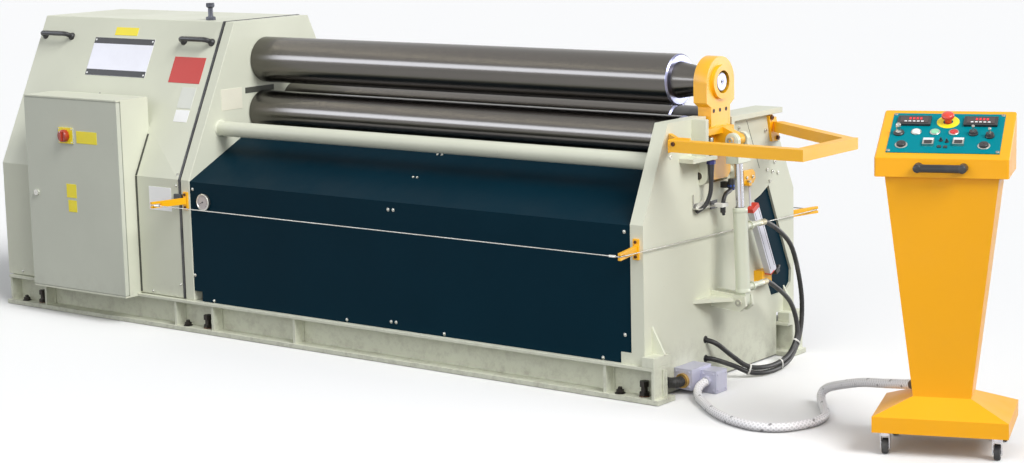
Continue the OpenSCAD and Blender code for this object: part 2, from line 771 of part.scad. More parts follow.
// Guard: a front arm on a bent plate, a cross bar, and a rear arm bolted to the frame
guard_z = 908;
guard_front_y = -432;
guard_x0 = right_out_x + 81;
guard_x1 = right_out_x + guard_reach;
rear_bolts = [[362, 921], [405, 841]];
module square_bar(a, b, w) {
    v = b - a;
    translate(a) rotate([0, acos(v[2] / norm(v)), atan2(v[1], v[0])])
        translate([-w / 2, -w / 2, 0]) cube([w, w, norm(v)]);
}
module guard_rail() {
    color(amber) {
        translate([0, 0, guard_z - guard_w / 2]) linear_extrude(guard_w)
            polygon([[guard_x0, guard_front_y], [guard_x1, guard_front_y], [guard_x1, -62],
                [guard_x1 - guard_w, -62], [guard_x1 - guard_w, guard_front_y + guard_w],
                [guard_x0, guard_front_y + guard_w]]);
        square_bar([guard_x1 - 13, -84, guard_z], [right_out_x + 22.5, 392, guard_z - 23], 38);
        // bent plate between the front arm and the frame
        translate([0, 0, guard_z - 24]) linear_extrude(50)
            polygon([[right_out_x, -311], [guard_x0, guard_front_y + guard_w],
                [guard_x0 + 58, guard_front_y + guard_w], [guard_x0 + 58, guard_front_y + guard_w + 10],
                [guard_x0 + 8, guard_front_y + guard_w + 10], [right_out_x + 8, -299],
                [right_out_x, -299]]);
        // plate under the two bolts of the rear arm
        yz(right_out_x, right_out_x + 10) {
            for (b = rear_bolts)
                translate(b) circle(r = 13);
            polygon([[345, 929], [398, 921], [425, 831], [369, 830]]);
        }
    }
}

// Arms that hold the trip wire off the corners, each on a small plate
wire_z_front = 546;
wire_z_rear = 526;
arm_reach = 156;
arm_flare = 38;
module trip_arm(x, y, z, out_x, out_y) {
    box([x - 12, min(y, y + out_y * 8), z - 37], [x + 12, max(y, y + out_y * 8), z + 37]);
    end_y = y + out_y * (arm_reach + 4);
    difference() {
        translate([0, 0, z - 13]) linear_extrude(26)
            polygon([[x - 6, y], [x + 6, y], [x + out_x * arm_flare + 6, end_y],
                [x + out_x * arm_flare - 6, end_y]]);
        translate([x + out_x * arm_flare, end_y, z]) cube([40, 84, 7], center = true);
    }
}
wire_left_x = left_in_x - 20;
wire_right_x = right_in_x + 28;
module trip_wire_brackets() {
    color(amber) {
        trip_arm(wire_left_x, -frame_front, wire_z_front, -1, -1);
        trip_arm(wire_right_x, -frame_front, wire_z_front, 1, -1);
        trip_arm(wire_right_x, frame_rear, wire_z_rear, 1, 1);
        trip_arm(wire_left_x, frame_rear, wire_z_rear, -1, 1);
    }
}

// Wire in front, along the right side and behind
module trip_wire() {
    a = [wire_left_x - arm_flare, -frame_front - arm_reach, wire_z_front];
    b = [wire_right_x + arm_flare, -frame_front - arm_reach, wire_z_front];
    c = [wire_right_x + arm_flare, frame_rear + arm_reach, wire_z_rear];
    d = [wire_left_x - arm_flare, frame_rear + arm_reach, wire_z_rear];
    color(steel) {
        rod_between(a, b, wire_d);
        rod_between(b, c, wire_d);
        rod_between(c, d, wire_d);
        for (p = [a, b, c, d])
            translate(p) sphere(d = 6, $fn = 16);
    }
}

// Position scale beside the slanted window ----------------------------------------------

scale_x = right_out_x + 41;
scale_top = [scale_x, 161, 617];
scale_low = [scale_x, 289, 352];
module position_scale() {
    v = scale_low - scale_top;
    color(alu) {
        translate(scale_top) rotate([atan2(-v[1], v[2]), 0, 0]) {
            translate([-4, -22, 0]) cube([26, 44, norm(v)]);
        }
        rod_between([scale_x, 155, 691], scale_top, 8);
    }
}

module scale_brackets() {
    color(amber) {
        box([right_out_x, 134, 705], [right_out_x + 24, 160, 740]);
        yz(right_out_x + 23, right_out_x + 33)
            polygon([[132, 700], [198, 697], [213, 712], [210, 735], [196, 748], [132, 748]]);
        box([right_out_x + 23, 146, 692], [scale_x + 6, 164, 704]);
        box([right_out_x, 250, 305], [scale_x - 4, 318, 356]);
    }
}

// Two switches that sense the lever and the yoke, each with its cable
lever_cable = [[0, 0, 822], [0, 0, 760], [-3, -2, 700], [-18, -14, 655], [-38, -44, 634]];
yoke_cable = [[0, 0, 702], [1, -14, 694], [1, -40, 686], [1, -56, 665], [1, -61, 640]];
module proximity_switches() {
    color(black) {
        translate([switch_at[0], switch_at[1], 0]) {
            bar_z(821, 876, 0, 0, 20);
            bar_z(848, 862, 0, 0, 34);
            tube(curve(lever_cable, 3), 11, 8);
        }
        translate([right_out_x + 41, 34, 0]) {
            bar_z(700, 734, 0, 0, 26);
            box([-41, -12, 700], [-10, 12, 722]);
            box([-41, -84, 630], [-36, -40, 660]);
            bar_z(618, 642, 1, -61, 20);
            tube(curve(yoke_cable, 3), 11, 8);
        }
    }
}

// Junction box and conduits --------------------------------------------------------------

jb_x1 = right_out_x + 141;
jb_y0 = -240;
module junction_box() {
    color(alu) {
        box([right_out_x + 1, jb_y0 - 54, 16], [right_out_x + 76, jb_y0 + 72, 91]);
        box([right_out_x + 76, jb_y0 + 4, 0], [jb_x1, jb_y0 + 76, 81]);
        bar_y(jb_y0 - 66, jb_y0 - 54, right_out_x + 40, cable_z, base_conduit_d + 8);
        bar_y(jb_y0 - 14, jb_y0 + 5, right_out_x + 104, 44, conduit_d + 6);
    }
}

// Black conduit from the cross member, through the frame plate and into the first box
conduit_route = [[right_in_x - 110 + cross_w / 2, cable_hole_y, cable_z],
    [right_in_x - 20, cable_hole_y, cable_z], [right_out_x - 6, cable_hole_y, cable_z],
    [right_out_x + 18, -347, cable_z], [right_out_x + 34, -338, cable_z], [right_out_x + 40, -322, cable_z],
    [right_out_x + 40, -306, cable_z]];
module base_conduit() {
    color(black) tube(curve(conduit_route, 3), base_conduit_d, 12);
}

// Free hoses of the cylinder, from its ports down to the holes in the frame
hose_upper_route = [[1792, 121, 566], [1793, 149, 565], [1797, 228, 525], [1804, 308, 457],
    [1804, 362, 347], [1806, 386, 225], [1808, 368, 110], [1812, 300, 34], [1820, 200, 12],
    [1815, 100, 12], [1785, 40, 22], [1745, 0, 48], [1704, -68, 80], [1662, -86, 84]];
hose_lower_route = [[1799, 121, 345], [1799, 149, 344], [1801, 222, 304], [1804, 300, 245],
    [1806, 342, 172], [1808, 346, 106], [1812, 288, 50], [1820, 196, 32], [1815, 98, 32],
    [1785, 34, 44], [1748, -8, 84], [1712, -66, 140], [1662, -86, 155]];
module hose_upper() {
    color(black) tube(curve(hose_upper_route, 2), hose_d, 8);
}
module hose_lower() {
    color(black) tube(curve(hose_lower_route, 2), hose_d, 8);
}

// Braided conduit that lies on the floor and rises to the console
console_route = [[1786, -254, 44], [1787, -296, 34], [1816, -350, 20], [1875, -410, 16],
    [1975, -498, 16], [2085, -566, 16], [2200, -596, 16], [2285, -562, 16], [2330, -480, 16],
    [2338, -400, 16], [2312, -322, 16], [2256, -238, 17], [2210, -172, 24], [2202, -146, 42],
    [2244, -176, 68], [2320, -232, 98], [2454, -322, 142], [2590, -410, 174], [2730, -498, 207]];
module console_conduit() {
    color(alu) tube(curve(console_route, 2), conduit_d, 10);
}

// Console ----------------------------------------------------------------------------------

module in_console() {
    translate([con_x, con_y, 0]) rotate([0, 0, con_turn]) children();
}

// Solid with a rectangular bottom and top of different size
module taper(x, y0, y1, z0, u, v0, v1, z1) {
    polyhedron([
        [-x, y0, z0], [x, y0, z0], [x, y1, z0], [-x, y1, z0],
        [-u, v0, z1], [u, v0, z1], [u, v1, z1], [-u, v1, z1]],
        [[0, 1, 2, 3], [7, 6, 5, 4], [0, 4, 5, 1], [1, 5, 6, 2], [2, 6, 7, 3], [3, 7, 4, 0]]);
}
column_w = 182;
column_top_w = 348;
column_y0 = -109;
column_y1 = 20;
module console_stand() {
    color(amber) in_console() difference() {
        union() {
            translate([-con_base_w / 2, -con_base_d / 2, con_base_z])
                cube([con_base_w, con_base_d, con_lip_h]);
            taper(con_base_w / 2, -con_base_d / 2, con_base_d / 2, con_base_z + con_lip_h,
                column_w / 2, column_y0, column_y1, pyr_z);
            taper(column_w / 2, column_y0, column_y1, pyr_z,
                column_top_w / 2, head_front_y + 16, column_y1, con_head_z);
            for (x = [-caster_x, caster_x], y = [-caster_y, caster_y])
                translate([x - 27, y - 24, con_base_z - 3]) cube([54, 48, 3]);
        }
        for (x = [-caster_x, caster_x], y = [-caster_y, caster_y])
            bar_z(con_base_z - 4, con_base_z + 20, x, y, 12 + 2 * run_gap);
    }
}

module head_outline() {
    polygon([[head_front_y, con_head_z], [head_front_y, con_head_z + con_head_front_h],
        [head_back_y, con_head_z + con_head_back_h], [head_back_y, con_head_z]]);
}
module console_head() {
    color(amber) in_console()
        yz(-con_head_w / 2, con_head_w / 2) head_outline();
}

// Places on the sloping top: along X and up the slope from its front edge
module on_top(x, s) {
    translate([0, head_front_y, con_head_z + con_head_front_h]) rotate([panel_tilt, 0, 0])
        translate([x, s, 0]) children();
}
panel_w = 346;
panel_s0 = 28;
panel_s1 = 246;
panel_t = 3;
stop_s = 198;
module control_panel() {
    color(teal) in_console() on_top(0, 0)
        difference() {
            box([-panel_w / 2, panel_s0, 0], [panel_w / 2, panel_s1, panel_t]);
            translate([0, stop_s, -1]) cylinder(d = 24, h = 8);
        }
}

module console_handle() {
    color(black) in_console() {
        bar_x(-72, 72, head_front_y - 34, con_head_z + 33, 20);
        for (x = [-62, 62])
            bar_y(head_front_y - 34, head_front_y, x, con_head_z + 33, 14);
    }
}

module emergency_stop() {
    color(red) in_console() on_top(0, stop_s) {
        bar_z(panel_t + 18, panel_t + 34, 0, 0, 40);
        bar_z(panel_t + 1, panel_t + 19, 0, 0, 22);
    }
}

// Displays, buttons, selector knobs and toggles on the panel
module panel_controls() {
    color(black) in_console() {
        for (x = [-104, 101])
            on_top(x, 197) translate([-52, -24, panel_t]) cube([104, 48, 10]);
        on_top(-145, 132) bar_z(panel_t, panel_t + 40, 0, 0, 24);
        for (x = [-92, -34, 24])
            on_top(x, 139) bar_z(panel_t, panel_t + 8, 0, 0, 28);
        for (p = [[84, 134], [135, 121]])
            on_top(p[0], p[1]) {
                bar_z(panel_t, panel_t + 12, 0, 0, 28);
                bar_z(panel_t + 11, panel_t + 28, 0, 0, 10);
            }
        for (x = [-130, 122])
            on_top(x, 67) bar_z(panel_t, panel_t + 14, 0, 0, 34);
        for (x = [-48, 44])
            on_top(x, 80) translate([-17, -17, panel_t]) cube([34, 34, 12]);
    }
}

// Casters: swivelling forks and their wheels
caster_at = [[-caster_x, -caster_y, 0], [caster_x, -caster_y, 0],
    [caster_x, caster_y, 180], [-caster_x, caster_y, 180]];
module at_caster(i) {
    in_console() translate([caster_at[i][0], caster_at[i][1], 0]) rotate([0, 0, caster_at[i][2]])
        children();
}
fork_top = con_base_z - 3.5;
module caster_fork(i) {
    color(chrome) at_caster(i) {
        bar_z(fork_top - 12, fork_top, 0, 0, 34);
        bar_z(fork_top - 1, con_base_z + 10, 0, 0, 12);
        for (x = [-wheel_w / 2 - 5.5, wheel_w / 2 + 2.5])
            translate([x, 0, 0])
                yz(0, 3) polygon([[-13, fork_top - 1], [caster_trail - 9, wheel_d / 2 - 9],
                    [caster_trail + 9, wheel_d / 2 - 9], [14, fork_top - 1]]);
        bar_x(-wheel_w / 2 - 5, wheel_w / 2 + 5, caster_trail, wheel_d / 2, 8);
    }
}
module caster_wheel(i) {
    color(black) at_caster(i) difference() {
        bar_x(-wheel_w / 2, wheel_w / 2, caster_trail, wheel_d / 2, wheel_d);
        bar_x(-wheel_w, wheel_w, caster_trail, wheel_d / 2, 8 + 2 * run_gap);
    }
}

base_front_beam();
base_rear_beam();
base_cross_members();
levelling_bolts();
left_frame();
right_frame();
right_frame_ribs();
lower_roll_bearings();
tie_tubes();
top_roll();
front_roll();
rear_roll();
yoke();
yoke_lever();
hinge_bracket();
cylinder_barrel();
cylinder_rod();
rod_clevis();
cylinder_bracket();
front_cover();
rear_cover();
side_cover();
drive_housing();
housing_seal();
lid_handles();
oil_breather();
pressure_gauge();
cabinet_body();
cabinet_door();
main_switch();
guard_rail();
trip_wire_brackets();
trip_wire();
position_scale();
scale_brackets();
proximity_switches();
junction_box();
base_conduit();
hose_upper();
hose_lower();
console_conduit();
console_stand();
console_head();
control_panel();
console_handle();
emergency_stop();
panel_controls();
caster_fork(0);  // caster_fork_1
caster_fork(1);  // caster_fork_2
caster_fork(2);  // caster_fork_3
caster_fork(3);  // caster_fork_4
caster_wheel(0);  // caster_wheel_1
caster_wheel(1);  // caster_wheel_2
caster_wheel(2);  // caster_wheel_3
caster_wheel(3);  // caster_wheel_4
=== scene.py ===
import bpy, bmesh, math
from mathutils import Matrix, Vector


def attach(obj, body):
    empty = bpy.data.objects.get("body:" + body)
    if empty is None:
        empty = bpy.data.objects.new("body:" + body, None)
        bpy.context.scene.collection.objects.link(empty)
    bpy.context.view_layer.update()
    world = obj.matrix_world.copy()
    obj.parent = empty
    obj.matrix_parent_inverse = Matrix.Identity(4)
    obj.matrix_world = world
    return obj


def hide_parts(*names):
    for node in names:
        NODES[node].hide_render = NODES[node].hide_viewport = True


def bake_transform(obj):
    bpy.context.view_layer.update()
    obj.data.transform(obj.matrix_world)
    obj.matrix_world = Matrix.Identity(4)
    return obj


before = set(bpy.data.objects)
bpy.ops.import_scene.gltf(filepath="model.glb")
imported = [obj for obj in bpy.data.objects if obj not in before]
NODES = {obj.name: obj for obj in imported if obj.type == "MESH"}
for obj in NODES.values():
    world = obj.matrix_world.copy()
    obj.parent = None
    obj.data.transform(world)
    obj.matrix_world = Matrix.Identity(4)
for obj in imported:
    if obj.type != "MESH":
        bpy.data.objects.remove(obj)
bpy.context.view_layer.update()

# Camera and studio: one long lens at eye height ahead of the drop end, a pale floor that keeps the
# shadow, a soft even sky, and long strip lamps that only the polished steel shows.
stage_scene = bpy.context.scene
stage_scene.view_settings.view_transform = "Standard"
eye = (5.940846, -6.655134, 1.879175)
yaw, pitch, roll = (math.radians(a) for a in (-38.06572, -9.52958, -1.33431))
ahead = Vector((math.sin(yaw) * math.cos(pitch), math.cos(yaw) * math.cos(pitch), math.sin(pitch)))
level = Vector((math.cos(yaw), -math.sin(yaw), 0))
upright = level.cross(ahead)
side = math.cos(roll) * level + math.sin(roll) * upright
top = -math.sin(roll) * level + math.cos(roll) * upright
lens = bpy.data.cameras.new("camera")
lens.sensor_width, lens.lens, lens.clip_end = 36.0, 77.015, 200
camera = bpy.data.objects.new("camera", lens)
stage_scene.collection.objects.link(camera)
camera.matrix_world = Matrix.Translation(eye) @ Matrix((side, top, -ahead)).transposed().to_4x4()
stage_scene.camera = camera


def wire(net, source, target):
    """Sets a socket to a value, or wires another socket into it."""
    if hasattr(source, "is_linked"):
        net.links.new(source, target)
    else:
        target.default_value = source


def node(net, kind, **values):
    """Adds a shader node; values name its settings or, by socket name, its inputs."""
    n = net.nodes.new("ShaderNode" + kind)
    for key, value in values.items():
        if hasattr(n, key):
            setattr(n, key, value)
        else:
            wire(net, value, n.inputs[key.replace("_", " ")])
    return n


def maths(net, how, a, b, kind="Math"):
    """One step of reckoning on two values."""
    n = node(net, kind, operation=how)
    wire(net, a, n.inputs[0])
    wire(net, b, n.inputs[1])
    return n.outputs[0]


def show_to(net, kinds, hidden, shown, outlet):
    """Rays of the named kinds meet the shown shader, all other rays the hidden one."""
    rays = node(net, "LightPath").outputs
    seen = rays[kinds[0]]
    for kind in kinds[1:]:
        seen = maths(net, "MAXIMUM", seen, rays[kind])
    choose = node(net, "MixShader")
    for socket, source in zip(choose.inputs, (seen, hidden.outputs[0], shown.outputs[0])):
        wire(net, source, socket)
    wire(net, choose.outputs[0], outlet.inputs[0])


sky = bpy.data.worlds.new("sky")
stage_scene.world = sky
sky.use_nodes = True
net = sky.node_tree
net.nodes.clear()
show_to(net, ("Is Camera Ray", "Is Transmission Ray", "Is Glossy Ray"),
        node(net, "Background", Color=(0.95, 0.97, 1.0, 1), Strength=0.42),
        node(net, "Background", Color=(1, 1, 1, 1), Strength=1.0), node(net, "OutputWorld"))


def lamp(name, kind, place, aim, strength, size, long=None, glossy=True, diffuse=True, hue=(1, 1, 1)):
    """Sun of that many degrees, or a lit sheet of that size and length in metres."""
    light = bpy.data.lights.new(name, kind)
    light.energy, light.color = strength, hue
    if kind == "SUN":
        light.angle = math.radians(size)
    else:
        light.shape, light.size, light.size_y = "RECTANGLE", long, size
    o = bpy.data.objects.new(name, light)
    stage_scene.collection.objects.link(o)
    o.location = place
    o.rotation_euler = (Vector(aim) - Vector(place)).to_track_quat("-Z", "Y").to_euler()
    o.visible_diffuse, o.visible_glossy = diffuse, glossy


lamp("key_sun", "SUN", (7, -1.5, 7), (0, 0, 0.5), 2.6, 30)
lamp("front_sun", "SUN", (1, -8, 2), (0, 0, 0.5), 0.3, 45)
lamp("front_fill", "AREA", (3.6, -4.6, 1.5), (2.0, -0.3, 0.6), 27, 2.0, 2.0, glossy=False)
lamp("low_fill", "AREA", (2.2, -3.0, 2.2), (2.3, -0.4, 0.1), 12, 1.2, 1.2, glossy=False)
lamp("main_strip", "AREA", (-6, -8, 3.4), (0.4, 0, 1.0), 640, 2.6, 14.0, diffuse=False, hue=(0.8, 0.86, 1.0))
lamp("thin_strip", "AREA", (-6, -2.05, 6.7), (0.4, 0, 1.0), 60, 0.25, 14.0, diffuse=False,
     hue=(1.0, 0.95, 0.74))
lamp("side_card", "AREA", (7.5, 9, 1.6), (1.8, 0, 1.0), 640, 4.0, 8.0, diffuse=False)

floor_mesh = bpy.data.meshes.new("floor")
floor_mesh.from_pydata([(-60, -60, 0), (60, -60, 0), (60, 90, 0), (-60, 90, 0)], [], [(0, 1, 2, 3)])
floor = bpy.data.objects.new("floor", floor_mesh)
stage_scene.collection.objects.link(floor)
floor.location.z = -0.0015
pale = bpy.data.materials.new("pale_floor")
pale.use_nodes = True
net = pale.node_tree
matt = net.nodes["Principled BSDF"]
matt.inputs["Base Color"].default_value = (0.15, 0.15, 0.15, 1)
matt.inputs["Roughness"].default_value = 0.9
show_to(net, ("Is Camera Ray", "Is Glossy Ray"), matt,
        node(net, "BsdfDiffuse", Color=(0.98, 0.98, 0.98, 1)), net.nodes["Material Output"])
floor_mesh.materials.append(pale)


# Hydraulic hoses of the drop-end cylinder: black rubber hose, a crimped steel ferrule at each
# cylinder port, and a grommet where each goes into the frame plate.
def tone(red, green, blue):
    """Paint colour as read from a colour card, 0 to 255."""
    line = [c / 255 for c in (red, green, blue)]
    return tuple(c / 12.92 if c <= 0.04045 else ((c + 0.055) / 1.055) ** 2.4 for c in line) + (1.0,)


def effect(name, **inputs):
    """Opens a shader node group that puts out a surface's colour, roughness and height."""
    g = bpy.data.node_groups.new(name, "ShaderNodeTree")
    for label, value in inputs.items():
        kind = {4: "Color", 3: "Vector"}[len(value)] if isinstance(value, tuple) else "Float"
        g.interface.new_socket(label, in_out="INPUT", socket_type="NodeSocket" + kind).default_value = value
    for label, kind in (("Colour", "Color"), ("Roughness", "Float"), ("Height", "Float")):
        g.interface.new_socket(label, in_out="OUTPUT", socket_type="NodeSocket" + kind)
    return g, g.nodes.new("NodeGroupInput").outputs, g.nodes.new("NodeGroupOutput").inputs


def close_effect(net, give, **made):
    """Wires what was made to the sockets of the same name that the effect puts out."""
    for label, source in made.items():
        wire(net, source, give[label])


def times(net, a, b):
    return maths(net, "MULTIPLY", a, b)


def plus(net, a, b):
    return maths(net, "ADD", a, b)


def stretched(net, where, by):
    """Squeezes a pattern by so much along each axis."""
    return maths(net, "MULTIPLY", where, by, "VectorMath")


def speckle(net, where, scale, detail=2.0, rough=0.5):
    """Cloudy spots, so many to the metre."""
    return node(net, "TexNoise", Vector=where, Scale=scale, Detail=detail, Roughness=rough).outputs["Fac"]


def remap(net, value, low, high, to_low=0.0, to_high=1.0):
    return node(net, "MapRange", Value=value, From_Min=low, From_Max=high, To_Min=to_low,
                To_Max=to_high).outputs["Result"]


def blend_colour(net, how, amount, a, b):
    n = node(net, "Mix", data_type="RGBA", blend_type=how)
    for slot, v in ((0, amount), (6, a), (7, b)):
        wire(net, v, n.inputs[slot])
    return n.outputs[2]


def surface(name, look, relief, depth, colour, skin_values, **shader_values):
    """New material that takes its colour, roughness and relief from one effect."""
    m = bpy.data.materials.new(name)
    m.use_nodes = True
    net = m.node_tree
    shader = net.nodes["Principled BSDF"].inputs
    skin = node(net, "Group", node_tree=look, Colour=tone(*colour), **skin_values).outputs
    bump = node(net, "Bump", Strength=relief, Distance=depth, Height=skin["Height"])
    wire(net, skin["Colour"], shader["Base Color"])
    wire(net, skin["Roughness"], shader["Roughness"])
    wire(net, bump.outputs[0], shader["Normal"])
    for key, value in shader_values.items():
        shader[key.replace("_", " ")].default_value = value
    return m


# Moulded and rubbed surfaces share one effect: soft clouding, handling marks and a fine grain,
# with a little pale dust where the clouding is thickest.
grain, take, give = effect("moulded_grain", Colour=(0.1, 0.1, 0.1, 1), Grain=700.0, Dust=0.2, Sheen=0.5)
where = node(grain, "TexCoord").outputs["Object"]
cloud = speckle(grain, where, 14.0, 4.0, 0.6)
dust = times(grain, remap(grain, cloud, 0.45, 0.75), take["Dust"])
close_effect(grain, give, Height=speckle(grain, where, take["Grain"], 3.0),
             Colour=blend_colour(grain, "MIX", dust, take["Colour"], (0.30, 0.29, 0.27, 1)),
             Roughness=plus(grain, take["Sheen"], remap(grain, cloud, 0.3, 0.7, -0.06, 0.10)))


def moulded(name, colour, sheen=0.5, grains=700.0, dust=0.15, bump=0.08, coat=0.0):
    """Rubber or plastic with a moulded grain."""
    return surface(name, grain, bump, 0.0005, colour, dict(Grain=grains, Dust=dust, Sheen=sheen),
                   Coat_Weight=coat)


# Bare and plated steel share one effect: faint brushing in one direction and cloudy tarnish, which
# is darker and rougher than the clean metal.
brushed, take, give = effect("brushed_steel", Colour=(0.5, 0.5, 0.5, 1), Along=(30.0, 900.0, 900.0),
                             Tarnish=0.3, Sheen=0.3)
where = node(brushed, "TexCoord").outputs["Object"]
lines = speckle(brushed, stretched(brushed, where, take["Along"]), 1.0, 3.0, 0.6)
soil = times(brushed, remap(brushed, speckle(brushed, where, 9.0, 5.0, 0.65), 0.4, 0.75), take["Tarnish"])
sheen = plus(brushed, remap(brushed, lines, 0.3, 0.7, -0.06, 0.08), take["Sheen"])
close_effect(brushed, give, Height=lines, Roughness=plus(brushed, sheen, times(brushed, soil, 0.25)),
             Colour=blend_colour(brushed, "MULTIPLY", soil, take["Colour"], (0.42, 0.38, 0.33, 1)))


def metal(name, colour, sheen=0.3, tarnish=0.3, along=(30.0, 900.0, 900.0), bump=0.05, metallic=1.0):
    """Bare steel, plated or cast metal."""
    return surface(name, brushed, bump, 0.0004, colour, dict(Along=along, Tarnish=tarnish, Sheen=sheen),
                   Metallic=metallic)


rubber = moulded("hose_rubber", (26, 26, 27), 0.42, 900.0, 0.22, 0.15)
ferrule_steel = metal("ferrule_steel", (204, 196, 168), 0.4, 0.3, metallic=0.3)

# Each piece is shaped in millimetres on the bench, and finished() takes it off. Forms stand along
# one of these directions: to the drop end, to the back, up, or to the front.
bench = bmesh.new()
RIGHT, BACK, UP, FRONT = (1, 0, 0), (0, 1, 0), (0, 0, 1), (0, -1, 0)


def circle_of(centre, r, u, v, sides):
    """Ring of new corners round a centre."""
    return [bench.verts.new(centre + r * (math.cos(a) * u + math.sin(a) * v))
            for a in (2 * math.pi * k / sides for k in range(sides))]


def turned(start, along, profile, sides=28):
    """Adds a lathe-turned form: profile is (distance along, radius) pairs, in millimetres."""
    along = Vector(along).normalized()
    u = along.orthogonal().normalized()
    v = along.cross(u)
    rows = []
    for step, r in profile:
        at = Vector(start) + along * step
        rows.append([bench.verts.new(at)] if r < 1e-6 else circle_of(at, r, u, v, sides))
    for a, b in zip(rows, rows[1:]):
        for k in range(sides):
            j = (k + 1) % sides
            if len(a) == 1 and len(b) > 1:
                bench.faces.new((a[0], b[j], b[k]))
            elif len(b) == 1 and len(a) > 1:
                bench.faces.new((a[k], a[j], b[0]))
            elif len(a) > 1 and len(b) > 1:
                bench.faces.new((a[k], a[j], b[j], b[k]))
    if len(rows[0]) > 1:
        bench.faces.new(list(reversed(rows[0])))
    if len(rows[-1]) > 1:
        bench.faces.new(rows[-1])


def round_edges(o, rounding, steps, sharpest):
    """Breaks the edges that turn by more than so many degrees."""
    soft = o.modifiers.new("rounding", "BEVEL")
    soft.width, soft.segments, soft.limit_method = rounding / 1000, steps, "ANGLE"
    soft.angle_limit, soft.harden_normals = math.radians(sharpest), True


def finished(name, paint, body="machine", crease=35, rounding=0.0, steps=2,
             place=None, instead_of=None):
    """Takes the work off the bench as a piece that rides on a body, perhaps instead of a CAD node."""
    global bench
    if place is not None:
        bench.transform(place)
    bmesh.ops.recalc_face_normals(bench, faces=bench.faces)
    bench.transform(Matrix.Scale(0.001, 4))
    mesh = bpy.data.meshes.new(name)
    bench.to_mesh(mesh)
    bench.free()
    bench = bmesh.new()
    mesh.shade_smooth()
    mesh.set_sharp_from_angle(angle=math.radians(crease))
    mesh.materials.append(paint)
    o = bpy.data.objects.new(name, mesh)
    stage_scene.collection.objects.link(o)
    if rounding:
        round_edges(o, rounding, steps, 30)
    if body:
        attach(o, body)
    if instead_of:
        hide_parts(instead_of)
    return o


def smooth_route(points, steps):
    """Smooth curve through the chosen points."""
    out = []
    for i in range(len(points) - 1):
        a, b, c, d = (Vector(points[min(max(k, 0), len(points) - 1)]) for k in (i - 1, i, i + 1, i + 2))
        for k in range(steps):
            t = k / steps
            out.append(0.5 * (2 * b + (c - a) * t + (2 * a - 5 * b + 4 * c - d) * t * t
                              + (3 * b - a - 3 * c + d) * t ** 3))
    return out + [Vector(points[-1])]


def swept(route, radius, sides=14):
    """Tube along a route in millimetres, with UVs in millimetres round it and along it."""
    uv = bench.loops.layers.uv.verify()
    n = Vector((0.3, 0.2, 1.0))
    rings, run, far = [], 0.0, [0.0]
    for i, p in enumerate(route):
        t = (route[min(i + 1, len(route) - 1)] - route[max(i - 1, 0)]).normalized()
        n = (n - n.dot(t) * t).normalized()
        rings.append(circle_of(p, radius(i) if callable(radius) else radius, n, t.cross(n), sides))
        if i:
            run += (p - route[i - 1]).length
            far.append(run)
    around = 2 * math.pi * (radius(0) if callable(radius) else radius)
    for i in range(len(rings) - 1):
        for k in range(sides):
            j = (k + 1) % sides
            f = bench.faces.new((rings[i][k], rings[i][j], rings[i + 1][j], rings[i + 1][k]))
            for loop, (u, v) in zip(f.loops, ((k, i), (k + 1, i), (k + 1, i + 1), (k, i + 1))):
                loop[uv].uv = (u / sides * around, far[v])
    bench.faces.new(list(reversed(rings[0])))
    bench.faces.new(rings[-1])
    return run


frame_face = 1679
hose_d = 18
crimps = [(0, 10.5), (2, 11.5), (4, 11.5), (6, 10.6), (9, 10.6), (11, 11.5), (13, 11.5), (15, 10.6),
          (18, 10.6), (20, 11.5), (22, 11.5), (25, 10.2), (27, 9.3)]
hose_routes = {
    "hose_upper": [(1792, 121, 566), (1793, 149, 565), (1797, 228, 525), (1804, 308, 457),
        (1804, 362, 347), (1806, 386, 225), (1808, 368, 110), (1812, 300, 34), (1820, 200, 12),
        (1815, 100, 12), (1785, 40, 22), (1745, 0, 48), (1704, -68, 80), (1662, -86, 84)],
    "hose_lower": [(1799, 121, 345), (1799, 149, 344), (1801, 222, 304), (1804, 300, 245),
        (1806, 342, 172), (1808, 346, 106), (1812, 288, 50), (1820, 196, 32), (1815, 98, 32),
        (1785, 34, 44), (1748, -8, 84), (1712, -66, 140), (1662, -86, 155)]}
for name, route in hose_routes.items():
    fine_route = smooth_route(route, 5)
    length = swept(fine_route, hose_d / 2, 16)
    hose = finished(name + "_cover", rubber, None, crease=60, instead_of=name)
    x, y, z = route[0]
    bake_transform(hose)
    # crimped ferrule and swivel nut at the port
    turned((x, y - 1, z), BACK, crimps, 24)
    turned((x, y - 17, z), BACK, [(0, 10.6), (1, 11.6), (14, 11.6), (16, 10.6)], 6)
    finished(name + "_ferrule", ferrule_steel, "barrel")
    # rubber grommet in the frame plate
    turned((frame_face - 2, *route[-1][1:]), RIGHT,
           [(0, 13.6), (3, 13.6), (4.4, 12.6), (4.6, 11), (4, 9.3), (0, 9.3)])
    finished(name + "_grommet", rubber)

# White cable ties that hold the two hoses together where they lie side by side. Each is a narrow
# nylon strap, drawn as three thin strands in a loop round both hoses.
tie_white = moulded("tie_nylon", (228, 228, 222), 0.4, 300.0, 0.05, 0.02)
for at, along, apart in (((1809, 341, 82), (0.03, -0.62, -0.78), (0, 17, -5)),
                         ((1819.5, 206, 23), (0.03, -0.99, -0.1), (1, -2, 18)),
                         ((1786.5, 39, 32), (-0.53, -0.79, 0.31), (1, -1, 20))):
    along = Vector(along).normalized()
    wide = Vector(apart)
    wide = (wide - wide.dot(along) * along).normalized()
    thin = along.cross(wide)
    for shift in (-2, 0, 2):
        loop = [Vector(at) + shift * along + 11 * math.cos(a) * thin + 20.5 * math.sin(a) * wide
                for a in (2 * math.pi * k / 28 for k in range(29))]
        swept(loop, 1.6, 6)
finished("hose_ties", tie_white, crease=40)

